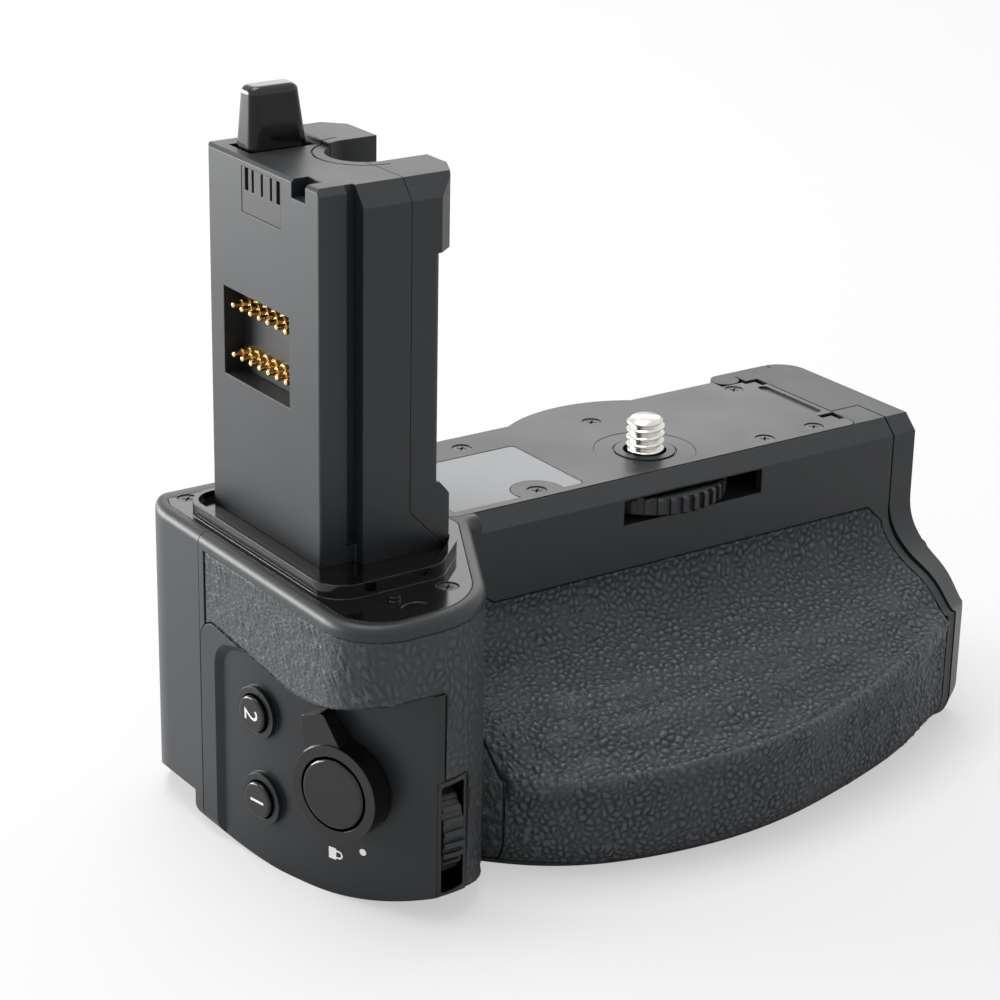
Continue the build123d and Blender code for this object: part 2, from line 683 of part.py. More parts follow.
def seat_plate_outline(grow):
    """The seat plate's outline, with the round boss behind the screw."""
    x_span = (COVER_PLATE_X - grow, PLATE_END_X + grow)
    rear_y = REAR_Y - SEAM_GAP
    y_span = (PLATE_FRONT_Y - grow, rear_y + 4 * grow)
    plate = rounded_plan(x_span, y_span, PLATE_CORNER)
    radius = SEAT_BOSS_RADIUS - SEAM_GAP + 4 * grow
    boss_box = Pos(0, radius / 2) * Rectangle(2 * radius, radius)
    hinge_x = HINGE_PLACE[0] - HINGE_BARREL_RADIUS - DOOR_GAP + grow
    hinge_y = HINGE_PLACE[1] - HINGE_BARREL_RADIUS - DOOR_GAP + 4 * grow
    hinge_room = Pos(hinge_x + CONTROL_REAR_Y / 2, hinge_y + CONTROL_REAR_Y / 2) * Rectangle(
        CONTROL_REAR_Y, CONTROL_REAR_Y
    )
    return plate + (Circle(radius) & boss_box) - hinge_room


def cover_outline(inset):
    """The glossy cover's outline, a rim's width inside the body's plan."""
    plan = offset(body_plan(), amount=-COVER_INSET - inset, kind=Kind.INTERSECTION)
    rear_y = CONTROL_REAR_Y - REAR_ROLL - COVER_REAR_INSET - inset
    region = rounded_plan(
        (2 * CONTROL_END_X, COVER_PLATE_X - SEAM_GAP - inset),
        (2 * CONTROL_FRONT_Y, rear_y),
        PLATE_CORNER,
    )
    return plan & region


def notch_plan(grow):
    """The U-shaped notch in the insert's top, seen from above."""
    radius = NOTCH_RADIUS + grow
    reach = FLANGE_END_X + CUT - NOTCH_CENTRE_X
    round_end = Pos(NOTCH_CENTRE_X, NOTCH_CENTRE_Y) * Circle(radius)
    straight = Pos(NOTCH_CENTRE_X + reach / 2, NOTCH_CENTRE_Y) * Rectangle(reach, 2 * radius)
    return round_end + straight


def y_prism(points, low_y, high_y):
    """A prism along Y from an outline of (x, z) points."""
    outline = make_face(Polyline(*[(x, low_y, z) for x, z in points], close=True))
    return extrude(outline, amount=high_y - low_y, dir=(0, 1, 0))


def insert_plan(grow, end_x):
    """The insert's plan: a narrow part, and a wide part that stands further forward."""
    rear = INSERT_Y[1] + grow
    front = INSERT_Y[0] - grow
    wide_front = INSERT_Y[0] - WIDE_STEP - grow
    points = (
        (INSERT_X[0] - grow, rear),
        (INSERT_X[0] - grow, front),
        (WIDE_X - grow, front),
        (WIDE_X - grow, wide_front),
        (end_x + grow, wide_front),
        (end_x + grow, rear),
    )
    radii = [corner * INSERT_CORNER for corner in INSERT_CORNER_SHARES]
    return make_face(FilletPolyline(*points, radius=radii, close=True))


# Screws
def small_screw(place, length=SCREW_LENGTH):
    """A small screw with a cross recess, its head's top on the plane."""
    head = round_bar(place, SCREW_HEAD_RADIUS, -SCREW_HEAD_DEPTH, 0)
    shank = round_bar(place, SCREW_SHANK_RADIUS, -length, -SCREW_HEAD_DEPTH)
    bar = Box(DRIVE_SPAN, DRIVE_WIDTH, 2 * DRIVE_DEPTH)
    cross = bar + Rot(0, 0, 90) * bar
    return head + shank - place * Rot(0, 0, 45) * cross


def small_screw_hole(place, length=SCREW_LENGTH):
    bore = round_bar(place, SCREW_SHANK_RADIUS + RUNNING_GAP, -length - GAP, 0)
    head = round_bar(place, SCREW_HEAD_RADIUS + RUNNING_GAP, -SCREW_HEAD_DEPTH, SCREW_HEAD_DEPTH)
    return bore + head


def top_place(place, z):
    return Plane(origin=(place[0], place[1], z), x_dir=(1, 0, 0), z_dir=(0, 0, 1))


def bottom_place(place):
    origin = (place[0], place[1], BODY_BOTTOM + SCREW_RECESS)
    return Plane(origin=origin, x_dir=(1, 0, 0), z_dir=(0, 0, -1))


def seat_plate_screw_places():
    return [top_place(place, SEAT_Z - SCREW_RECESS) for place in PLATE_SCREW_PLACES]


def cover_screw_places():
    return [top_place(place, SEAT_Z - SCREW_RECESS) for place in COVER_SCREW_PLACES]


# Openings that the controls need in the panel and the wall behind it
def control_openings():
    shutter = panel_plane(SHUTTER_PLACE)
    depth = 2 * CUT
    holes = [round_bar(shutter, LEVER_RING_INNER + LEVER_TUBE_WALL + 2 * RUNNING_GAP, -depth, depth)]
    for place in CUSTOM_PLACES:
        holes.append(round_bar(panel_plane(place), COLLAR_RING_INNER, -depth, depth))
    return holes


def rear_openings():
    depth = 2 * CUT
    holes = []
    stick = rear_place(STICK_PLACE)
    holes.append(round_bar(stick, STICK_HOLE_RADIUS, -depth, depth))
    for place in REAR_BUTTON_PLACES:
        holes.append(round_bar(rear_place(place), REAR_BUTTON_RADIUS + GAP, -depth, depth))
    slot_y = (CONTROL_REAR_Y - depth, CONTROL_REAR_Y + depth)
    holes.append(span_box(REAR_DIAL_SLOT_X, slot_y, REAR_DIAL_SLOT_Z))
    return holes


def rear_place(place):
    origin = (place[0], CONTROL_REAR_Y, place[1])
    return Plane(origin=origin, x_dir=(0, 0, 1), z_dir=(0, 1, 0))


# Body pieces
def outer_body():
    form = body_form(0, BODY_BOTTOM, SEAT_Z, 0) - rear_roll() - neck_bevel()
    roll_y = CONTROL_REAR_Y - REAR_ROLL - GAP
    rim = []
    for edge in form.edges():
        middle = edge.position_at(1 / 2)
        if abs(middle.Z - SEAT_Z) < RUNNING_GAP and middle.X < NECK_START_X and middle.Y < roll_y:
            rim.append(edge)
    return fillet(rim, RIM_ROUND)


OUTER = outer_body()
INSET = body_form(SKIN, BODY_BOTTOM + SKIN, SEAT_Z, SKIN)
SURFACE_LAYER = OUTER - INSET


def make_end_skin():
    return SURFACE_LAYER & end_skin_region()


def make_front_skin():
    return SURFACE_LAYER & front_skin_region()


def body_cavity():
    cavity = body_form(WALL, INNER_FLOOR, DECK_LOW, BULGE_WALL)
    behind_panel = panel_block(WALL) - panel_drum(PANEL_THICKNESS + WALL)
    end_x = DOOR_SEAM_X - WALL
    end_wall = span_box((end_x, DOOR_OUTER_X), (2 * CONTROL_FRONT_Y, REAR_Y), (2 * BODY_BOTTOM, CUT))
    tongue_low = SEAT_Z - DOOR_TONGUE_THICKNESS - DOOR_GAP - WALL
    tongue_floor = span_box((PLATE_END_X - WALL, DOOR_OUTER_X), (NECK_Y, REAR_Y), (tongue_low, CUT))
    return cavity - behind_panel - end_wall - tongue_floor


def bottom_outline(grow):
    outline = make_face(FilletPolyline(*BOTTOM_OUTLINE, radius=BOTTOM_CORNER, close=True))
    return offset(outline, amount=grow, kind=Kind.INTERSECTION) if grow else outline


def bottom_posts():
    posts = []
    low = BODY_BOTTOM + BOTTOM_PLATE
    for x, y in BOTTOM_SCREW_PLACES:
        place = top_place((x, y), low)
        post = round_bar(place, BOTTOM_POST_RADIUS, 0, BOTTOM_POST_HEIGHT)
        posts.append(post)
    return posts


def casing():
    form = OUTER - end_skin_region().intersect(SURFACE_LAYER) - front_skin_region().intersect(SURFACE_LAYER)
    form = form - panel_pocket() - body_cavity()
    form = form + bottom_posts()
    opening_y, opening_z = battery_opening(0)
    cuts = [
        slab(seat_plate_outline(SEAM_GAP), SEAT_Z - PLATE_THICKNESS, SEAT_Z + CUT),
        slab(cover_outline(-SEAM_GAP), SEAT_Z - PLATE_THICKNESS, SEAT_Z + CUT),
        slab(insert_plan(SEAM_GAP, FOOT_END_X), DECK_LOW - CUT, SEAT_Z),
        span_box(
            (PLATE_END_X, DOOR_OUTER_X),
            (DOOR_TONGUE_Y - DOOR_GAP, REAR_Y + CUT),
            (SEAT_Z - DOOR_TONGUE_THICKNESS - DOOR_GAP, SEAT_Z + CUT),
        ),
        span_box((DOOR_SEAM_X - 2 * WALL, DOOR_OUTER_X), opening_y, opening_z),
        wheel_slot(),
        slab(Circle(SCREW_HOLE_RADIUS), DECK_LOW - CUT, SEAT_Z),
        dial_slot(),
        slab(bottom_outline(SEAM_GAP), BODY_BOTTOM - CUT, BODY_BOTTOM + BOTTOM_PLATE),
        slab(bottom_outline(-BOTTOM_LEDGE), BODY_BOTTOM - CUT, INNER_FLOOR),
    ]
    cuts += control_openings()
    cuts += rear_openings()
    cuts += [small_screw_hole(place) for place in seat_plate_screw_places()]
    cuts += [small_screw_hole(place) for place in cover_screw_places()]
    cuts += [
        small_screw_hole(bottom_place(place), BOTTOM_SCREW_LENGTH) for place in BOTTOM_SCREW_PLACES
    ]
    return form - cuts


CASING = casing()


def make_front_casing():
    reach = 2 * BODY_DEPTH
    half = span_box((CONTROL_END_X - reach, reach), (-reach, CASING_SPLIT_Y), (-reach, reach))
    return CASING & half


def make_rear_casing():
    reach = 2 * BODY_DEPTH
    low_y = CASING_SPLIT_Y + SEAM_GAP
    half = span_box((CONTROL_END_X - reach, reach), (low_y, reach), (-reach, reach))
    shell = CASING & half
    hinge = Plane(origin=(*HINGE_PLACE, 0), x_dir=(1, 0, 0), z_dir=(0, 0, 1))
    barrel = round_bar(hinge, HINGE_BARREL_RADIUS, *HINGE_KNUCKLE_Z)
    wall_y = HINGE_PLACE[1] - HINGE_BARREL_RADIUS - DOOR_GAP
    web_x = (HINGE_PLACE[0] - HINGE_BARREL_RADIUS, HINGE_PLACE[0] + HINGE_BARREL_RADIUS)
    web = span_box(web_x, (wall_y - WALL / 2, HINGE_PLACE[1]), HINGE_KNUCKLE_Z)
    bore = round_bar(hinge, HINGE_PIN_RADIUS + RUNNING_GAP, BODY_BOTTOM, SEAT_Z)
    return shell + barrel + web - bore


def make_bottom_cover():
    plate = slab(bottom_outline(0), BODY_BOTTOM, BODY_BOTTOM + BOTTOM_PLATE)
    holes = [small_screw_hole(bottom_place(place), BOTTOM_SCREW_LENGTH) for place in BOTTOM_SCREW_PLACES]
    socket = top_place((SOCKET_X, SOCKET_Y), BODY_BOTTOM)
    holes.append(round_bar(socket, SOCKET_BODY_RADIUS + RUNNING_GAP, 0, CUT))
    return plate - holes


def make_bottom_screws():
    return [small_screw(bottom_place(place), BOTTOM_SCREW_LENGTH) for place in BOTTOM_SCREW_PLACES]


def make_tripod_socket():
    place = top_place((SOCKET_X, SOCKET_Y), BODY_BOTTOM)
    body = round_bar(place, SOCKET_BODY_RADIUS, 0, BOTTOM_THICKNESS)
    flange = round_bar(place, SOCKET_FLANGE_RADIUS, BOTTOM_THICKNESS, BOTTOM_THICKNESS + SOCKET_FLANGE)
    neck = round_bar(place, SOCKET_RADIUS + 2 * WALL, BOTTOM_THICKNESS, SOCKET_DEPTH + WALL)
    bore = round_bar(place, SOCKET_RADIUS, 0, SOCKET_DEPTH)
    return body + flange + neck - bore


def make_seat_plate():
    plate = slab(seat_plate_outline(0), SEAT_Z - PLATE_THICKNESS, SEAT_Z)
    cuts = [slab(label_outline(0), SEAT_Z - LABEL_DEPTH, SEAT_Z + CUT)]
    pill = Pos(PILL_X, (PILL_Y[0] + PILL_Y[1]) / 2) * SlotOverall(PILL_Y[1] - PILL_Y[0], PILL_WIDTH, 90)
    cuts.append(slab(pill, SEAT_Z - PILL_DEPTH, SEAT_Z + CUT))
    for y, turn in ((KEY_NOTCH_HIGH_Y, -1), (KEY_NOTCH_LOW_Y, -1)):
        leg = span_box(KEY_NOTCH_X, (y, y + KEY_NOTCH_WIDTH), (SEAT_Z - KEY_NOTCH_DEPTH, SEAT_Z + CUT))
        low_x = KEY_NOTCH_X[1] - KEY_NOTCH_WIDTH
        arm_y = (y + turn * KEY_NOTCH_ARM, y + KEY_NOTCH_WIDTH)
        arm = span_box((low_x, KEY_NOTCH_X[1]), arm_y, (SEAT_Z - KEY_NOTCH_DEPTH, SEAT_Z + CUT))
        cuts += [leg, arm]
    cuts.append(slab(Circle(SEAT_DISC_RADIUS + RUNNING_GAP), SEAT_Z - CUT, SEAT_Z + CUT))
    cuts += [small_screw_hole(place) for place in seat_plate_screw_places()]
    return plate - cuts


def label_outline(inset):
    """The label's recess, cut back round the screw beside it."""
    x_span = (LABEL_X[0] + inset, LABEL_X[1] - inset)
    y_span = (LABEL_Y[0] + inset, LABEL_Y[1] - inset)
    outline = rounded_plan(x_span, y_span, PLATE_CORNER / 2)
    return outline - Pos(*PLATE_SCREW_PLACES[1]) * Circle(LABEL_NOTCH + inset)


def make_label_plate():
    return slab(label_outline(SEAM_GAP), SEAT_Z - LABEL_DEPTH, SEAT_Z - RUNNING_GAP)


def make_seat_disc():
    disc = slab(Circle(SEAT_DISC_RADIUS), SEAT_Z - PLATE_THICKNESS, SEAT_Z - RUNNING_GAP)
    ring = slab(Circle(SEAT_RING_RADIUS), SEAT_Z - PLATE_THICKNESS, SEAT_Z + 2 * RUNNING_GAP)
    groove = slab(Circle(SEAT_RING_RADIUS + GAP) - Circle(SEAT_RING_RADIUS), SEAT_Z - GAP, SEAT_Z + GAP)
    hole = slab(Circle(SCREW_HOLE_RADIUS), SEAT_Z - CUT, SEAT_Z + CUT)
    return disc + ring - groove - hole


def make_seat_plate_screws():
    return [small_screw(place) for place in seat_plate_screw_places()]


def make_attachment_screw():
    thread = slab(Circle(SCREW_RADIUS), SCREW_THREAD_LOW, SCREW_TOP)
    thread = fillet(thread.edges().sort_by(Axis.Z)[-1], SCREW_DOME)
    return thread + slab(Circle(SCREW_NECK_RADIUS), SCREW_BOTTOM, SCREW_THREAD_LOW)


def make_attachment_wheel():
    low = WHEEL_TOP - WHEEL_THICKNESS
    wheel = toothed_disc(WHEEL_RADIUS, WHEEL_TOOTH_DEPTH, WHEEL_TEETH, low, WHEEL_TOP)
    hub = slab(Circle(WHEEL_HUB_RADIUS), low - WHEEL_HUB_HEIGHT, low)
    return wheel + hub - slab(Circle(SCREW_NECK_RADIUS), low - CUT, WHEEL_TOP + CUT)


# The insert and its cover
def collar_plan(inset):
    x_span = (COLLAR_X[0] + inset, COLLAR_X[1] - inset)
    y_span = (COLLAR_Y[0] + inset, COLLAR_Y[1] - inset)
    cut_x, cut_y = COLLAR_CUT
    points = (
        (x_span[0], y_span[1]),
        (x_span[0], y_span[0]),
        (x_span[1] - cut_x, y_span[0]),
        (x_span[1], y_span[0] + cut_y),
        (x_span[1], y_span[1]),
    )
    radius = COLLAR_RADIUS - inset
    return make_face(FilletPolyline(*points, radius=radius, close=True))


def make_insert_cover():
    plate = slab(cover_outline(0), SEAT_Z - PLATE_THICKNESS, SEAT_Z)
    inside = slab(collar_plan(COLLAR_WALL), INSERT_FLOOR, COLLAR_TOP)
    collar = slab(collar_plan(0), SEAT_Z, COLLAR_TOP) - inside
    boss = round_bar(top_place(COVER_BOSS_PLACE, SEAT_Z), COVER_BOSS_RADIUS, 0, COVER_BOSS_HEIGHT)
    hole = slab(insert_plan(SEAM_GAP, FOOT_END_X), SEAT_Z - CUT, COLLAR_TOP + CUT)
    holes = [small_screw_hole(place) for place in cover_screw_places()]
    return plate + collar + boss - hole - holes


def make_insert_cover_screws():
    return [small_screw(place) for place in cover_screw_places()]


def insert_pockets(grow):
    """Hollows in the insert's faces; grown, they are the walls round those hollows."""
    low_x = INSERT_X[0] - CUT
    recess = span_box(
        (low_x, INSERT_X[0] + RECESS_DEPTH + PIN_BLOCK_THICKNESS),
        (RECESS_Y[0] - grow, RECESS_Y[1] + grow),
        (RECESS_Z[0] - grow, RECESS_Z[1] + grow),
    )
    block = span_box(
        (low_x, INSERT_X[0] + BLOCK_DEPTH + grow),
        (BLOCK_Y[0] - grow, BLOCK_Y[1] + grow),
        (BLOCK_LOW - grow, BLOCK_SLOT_Z[1] + grow),
    )
    keyway = span_box(
        (low_x, INSERT_X[0] + KEYWAY_DEPTH + grow),
        (KEYWAY_Y[0] - grow, KEYWAY_Y[1] + grow),
        (KEYWAY_LOW - grow, INSERT_TOP + CUT),
    )
    lug = span_box(
        (LUG_X[0] - GAP - grow, LUG_X[1] + GAP + grow),
        (LUG_Y[0] - GAP - grow, LUG_Y[1] + GAP + grow),
        (INSERT_TOP - LUG_SINK - grow, INSERT_TOP + CUT),
    )
    notch = slab(notch_plan(grow), INSERT_TOP - NOTCH_DEPTH - grow, INSERT_TOP + CUT)
    return [recess, block, keyway, lug, notch]


def insert_form():
    rear = INSERT_Y[1]
    wide_front = INSERT_Y[0] - WIDE_STEP
    column = slab(insert_plan(0, INSERT_X[1]), INSERT_ROOT, INSERT_TOP)
    inner_x = INSERT_X[1] - INSERT_WALL
    foot_points = (
        (inner_x, INSERT_ROOT),
        (inner_x, FOOT_Z[1]),
        (INSERT_X[1], FOOT_Z[1]),
        (FOOT_END_X, FOOT_Z[0]),
        (FOOT_END_X, INSERT_ROOT),
    )
    foot = y_prism(foot_points, wide_front, rear) & slab(insert_plan(0, FOOT_END_X), INSERT_ROOT, FOOT_Z[1])
    flange_points = (
        (inner_x, wide_front),
        (INSERT_X[1], wide_front),
        (FLANGE_FRONT_X, FLANGE_CORNER_Y[0]),
        (FLANGE_END_X, FLANGE_CORNER_Y[1]),
        (FLANGE_END_X, NOTCH_CENTRE_Y),
        (FAR_BLOCK_END_X, NOTCH_CENTRE_Y),
        (FAR_BLOCK_END_X, rear - FAR_BLOCK_CORNER),
        (FAR_BLOCK_END_X - FAR_BLOCK_CORNER, rear),
        (inner_x, rear),
    )
    flange = slab(make_face(Polyline(*flange_points, close=True)), FLANGE_LOW, INSERT_TOP)
    raise_points = (
        (NOTCH_CENTRE_X - NOTCH_RADIUS / 2, NOTCH_CENTRE_Y),
        (FAR_BLOCK_END_X, NOTCH_CENTRE_Y),
        (FAR_BLOCK_END_X, rear - FAR_BLOCK_CORNER),
        (FAR_BLOCK_END_X - FAR_BLOCK_CORNER, rear),
        (NOTCH_CENTRE_X - NOTCH_RADIUS / 2, rear),
    )
    far_block = slab(make_face(Polyline(*raise_points, close=True)), INSERT_TOP, INSERT_TOP + FAR_BLOCK_RAISE)
    return column + foot + flange + far_block


def insert_bevels():
    """Wedges that slope the insert's top edges."""
    front = INSERT_Y[0]
    wide_front = front - WIDE_STEP
    top = INSERT_TOP
    narrow = (
        (front - INSERT_CHAMFER, top - 2 * INSERT_CHAMFER),
        (front + INSERT_CHAMFER, top),
        (front + INSERT_CHAMFER, top + INSERT_CHAMFER),
        (front - INSERT_CHAMFER, top + INSERT_CHAMFER),
    )
    wide = (
        (wide_front - WIDE_CHAMFER_DEPTH, top - 2 * WIDE_CHAMFER_HEIGHT),
        (wide_front + WIDE_CHAMFER_DEPTH, top),
        (wide_front + WIDE_CHAMFER_DEPTH, top + WIDE_CHAMFER_HEIGHT),
        (wide_front - WIDE_CHAMFER_DEPTH, top + WIDE_CHAMFER_HEIGHT),
    )
    end = (
        (INSERT_X[0] - INSERT_END_CHAMFER, top - 2 * INSERT_END_CHAMFER),
        (INSERT_X[0] + INSERT_END_CHAMFER, top),
        (INSERT_X[0] + INSERT_END_CHAMFER, top + INSERT_END_CHAMFER),
        (INSERT_X[0] - INSERT_END_CHAMFER, top + INSERT_END_CHAMFER),
    )
    return [
        x_prism(narrow, INSERT_X[0] - CUT, WIDE_X),
        x_prism(wide, WIDE_X - CUT / 2, FLANGE_END_X + CUT) & front_of_insert(),
        y_prism(end, wide_front - CUT, INSERT_Y[1] + CUT),
    ]


def front_of_insert():
    wide_front = INSERT_Y[0] - WIDE_STEP
    x_span = (WIDE_X - CUT, FLANGE_END_X + CUT)
    y_span = (wide_front - CUT, wide_front + WIDE_CHAMFER_DEPTH)
    return span_box(x_span, y_span, (FLANGE_LOW, INSERT_TOP + CUT))


def insert_shell():
    inner = offset(insert_plan(0, INSERT_X[1]), amount=-INSERT_WALL, kind=Kind.INTERSECTION)
    hollow = slab(inner, INSERT_ROOT - CUT, INSERT_TOP - INSERT_WALL) - insert_pockets(NOTCH_WALL)
    groove_x = (WIDE_X - GUIDE_GROOVE_WIDTH, WIDE_X)
    groove_y = (INSERT_Y[0] - CUT, INSERT_Y[0] + GUIDE_GROOVE_DEPTH)
    groove = span_box(groove_x, groove_y, (GUIDE_GROOVE_LOW, INSERT_TOP + CUT))
    ledge_ring = notch_plan(NOTCH_LEDGE + GAP) - notch_plan(NOTCH_LEDGE)
    ledge_centre = Pos(NOTCH_CENTRE_X - NOTCH_RADIUS, NOTCH_CENTRE_Y)
    ledge_side = ledge_centre * Rectangle(2 * NOTCH_RADIUS, 4 * NOTCH_RADIUS)
    ledge = slab(ledge_ring & ledge_side, INSERT_TOP - NOTCH_LEDGE_DEPTH, INSERT_TOP + CUT)
    return insert_form() - insert_bevels() - hollow - insert_pockets(0) - groove - ledge


INSERT_SHELL = insert_shell()


def cover_side(shift):
    """The region on the cover's side of the seam, which turns diagonal near the foot."""
    seam_x = INSERT_SEAM_X + shift
    far_x = FLANGE_END_X + CUT
    drop = (far_x - seam_x) * SEAM_SLOPE
    points = (
        (seam_x, SEAM_BEND_Z),
        (seam_x, INSERT_TOP + CUT),
        (far_x, INSERT_TOP + CUT),
        (far_x, SEAM_BEND_Z - drop),
    )
    return y_prism(points, 2 * CONTROL_FRONT_Y, 2 * CONTROL_REAR_Y)


def make_column_casing():
    return INSERT_SHELL - cover_side(0)


def make_column_cover():
    return INSERT_SHELL & cover_side(SEAM_GAP)


def make_guide_lug():
    low = INSERT_TOP - LUG_SINK
    base = rounded_plan(LUG_X, LUG_Y, LUG_ROUND)
    top_x = (LUG_X[0] + LUG_TAPER / 4, LUG_X[1] - LUG_TAPER / 2)
    top_y = (LUG_Y[0] + LUG_TAPER / 4, LUG_Y[1] - LUG_TAPER / 4)
    crown = rounded_plan(top_x, top_y, LUG_ROUND)
    lug = loft([Pos(0, 0, low) * base, Pos(0, 0, LUG_TOP) * crown])
    return fillet(lug.faces().sort_by(Axis.Z)[-1].edges(), LUG_ROUND * 3 / 4)


def make_pin_carrier():
    front_x = INSERT_X[0] + RECESS_DEPTH
    x_span = (front_x, front_x + PIN_BLOCK_THICKNESS - GAP)
    y_span = (RECESS_Y[0] + RUNNING_GAP, RECESS_Y[1] - RUNNING_GAP)
    z_span = (RECESS_Z[0] + RUNNING_GAP, RECESS_Z[1] - RUNNING_GAP)
    depth = PIN_BLOCK_THICKNESS / 2
    holes = [round_bar(place, PIN_SLEEVE_RADIUS, -depth, CUT) for place in pin_places()]
    return span_box(x_span, y_span, z_span) - holes


def pin_places():
    """Planes on the pin carrier's face, facing out of the insert."""
    places = []
    face_x = INSERT_X[0] + RECESS_DEPTH
    for z in PIN_ROW_Z:
        for index in range(PIN_COUNT):
            y = PIN_CENTRE_Y + (index - (PIN_COUNT - 1) / 2) * PIN_PITCH
            places.append(Plane(origin=(face_x, y, z), x_dir=(0, 1, 0), z_dir=(-1, 0, 0)))
    return places


def make_pin_sleeves():
    sleeves = []
    depth = PIN_BLOCK_THICKNESS / 2
    for place in pin_places():
        tube = round_bar(place, PIN_SLEEVE_RADIUS, -depth, PIN_SLEEVE_PROUD)
        flare = round_bar(place, PIN_FLARE_RADIUS, 0, PIN_FLARE_LENGTH)
        bore = round_bar(place, PIN_RADIUS + RUNNING_GAP, -depth, PIN_SLEEVE_PROUD)
        sleeves.append(tube + flare - bore)
    return sleeves


def make_contact_pins():
    pins = []
    tail = PIN_BLOCK_THICKNESS / 2 - PIN_TRAVEL - GAP
    for place in pin_places():
        pin = round_bar(place, PIN_RADIUS, -tail, PIN_REACH)
        pins.append(fillet(pin.edges().sort_by(Axis.X)[0], PIN_RADIUS * 3 / 4))
    return pins


def make_terminal_block():
    x_span = (INSERT_X[0] + RUNNING_GAP, INSERT_X[0] + BLOCK_DEPTH)
    y_span = (BLOCK_Y[0] + RUNNING_GAP, BLOCK_Y[1] - RUNNING_GAP)
    block = span_box(x_span, y_span, (BLOCK_LOW + RUNNING_GAP, BLOCK_SLOT_Z[1] - RUNNING_GAP))
    slots = []
    for y, width in zip(BLOCK_SLOT_Y, BLOCK_SLOT_WIDTH):
        slot_x = (INSERT_X[0] - CUT, INSERT_X[0] + BLOCK_SLOT_DEPTH)
        slot_z = (BLOCK_SLOT_Z[0], BLOCK_SLOT_Z[1] + CUT)
        slots.append(span_box(slot_x, (y - width / 2, y + width / 2), slot_z))
    return block - slots


def make_terminal_contacts():
    blades = []
    for y in BLOCK_SLOT_Y:
        blade_x = (INSERT_X[0] + BLOCK_SLOT_DEPTH / 2, INSERT_X[0] + BLOCK_SLOT_DEPTH)
        blade_y = (y - BLADE_THICKNESS / 2, y + BLADE_THICKNESS / 2)
        blades.append(span_box(blade_x, blade_y, (BLOCK_SLOT_Z[0], BLOCK_SLOT_Z[1] - GAP)))
    return blades


# The control panel and its controls
def panel_dish():
    """The shallow dish in the panel: what lies outside the drum, with a sloping rim."""
    low = 2 * BODY_BOTTOM
    front = 2 * CONTROL_FRONT_Y
    rim_x = PANEL_CENTRE[0] - PANEL_RADIUS + DISH_RIM
    corners = ((DISH_REAR_Y, low), (DISH_REAR_Y, DISH_TOP), (front, DISH_TOP + DISH_RISE), (front, low))
    points = [(rim_x, y, z) for y, z in corners]
    outline = make_face(FilletPolyline(*points, radius=[0, DISH_CORNER, 0, 0], close=True))
    inward = extrude(outline, amount=BODY_DEPTH / 2, dir=(1, 0, 0))
    outward = extrude(outline, amount=CUT, dir=(-1, 0, 0), taper=-DISH_SLOPE)
    return inward + outward - panel_drum(0)


def make_control_panel():
    plate = (OUTER - panel_drum(PANEL_THICKNESS) - panel_dish()) & panel_block(-SEAM_GAP)
    collars = []
    for place in CUSTOM_PLACES:
        plane = panel_plane(place)
        collars.append(round_bar(plane, COLLAR_RING_OUTER, -PANEL_THICKNESS / 2, COLLAR_RING_HEIGHT))
    return plate + collars - control_openings()


def make_lock_lever():
    plane = panel_plane(SHUTTER_PLACE)
    ring = round_bar(plane, LEVER_RING_OUTER, LEVER_FLOAT, LEVER_PROUD)
    tube = round_bar(plane, LEVER_RING_INNER + LEVER_TUBE_WALL, -PANEL_THICKNESS - GAP, LEVER_FLOAT)
    bore = round_bar(plane, LEVER_RING_INNER, -PANEL_THICKNESS - CUT, LEVER_PROUD + CUT)
    half = LEVER_TAB_WIDTH / 2
    root = LEVER_RING_INNER + LEVER_TUBE_WALL
    tab_points = (
        (root, -half - LEVER_TAB_FLARE),
        (LEVER_TAB_REACH, -half),
        (LEVER_TAB_REACH, half),
        (root, half + LEVER_TAB_FLARE),
    )
    tab_radii = [0, LEVER_TAB_ROUND, LEVER_TAB_ROUND, 0]
    tab_face = make_face(FilletPolyline(*tab_points, radius=tab_radii, close=True))
    tab_low = LEVER_FLOAT + LEVER_TAB_RAISE
    tab = extrude(Pos(0, 0, tab_low) * tab_face, amount=LEVER_PROUD - GAP - tab_low)
    return ring + tube + plane * Rot(0, 0, LEVER_TAB_TURN) * tab - bore


def make_shutter_button():
    plane = panel_plane(SHUTTER_PLACE)
    cap = Pos(0, 0, SHUTTER_PROUD / 2 + SHUTTER_CAP_LOW / 2) * Cylinder(
        SHUTTER_BUTTON_RADIUS, SHUTTER_PROUD - SHUTTER_CAP_LOW
    )
    cap = fillet(cap.edges().sort_by(Axis.Z)[-1], SHUTTER_EDGE_ROUND)
    stem = round_bar(plane, SHUTTER_STEM_RADIUS, -SHUTTER_STEM_LENGTH, SHUTTER_CAP_LOW)
    return plane * cap + stem


def make_shutter_spring():
    plane = panel_plane(SHUTTER_PLACE)
    low = GAP - SHUTTER_SWITCH_DEPTH
    height = SHUTTER_CAP_LOW - GAP - low
    coil = Helix(pitch=height / SPRING_TURNS, height=height, radius=SPRING_RADIUS)
    start = Plane(origin=coil @ 0, z_dir=coil % 0)
    wire = sweep(start * Circle(SPRING_WIRE), path=coil)
    return plane * Pos(0, 0, low) * wire


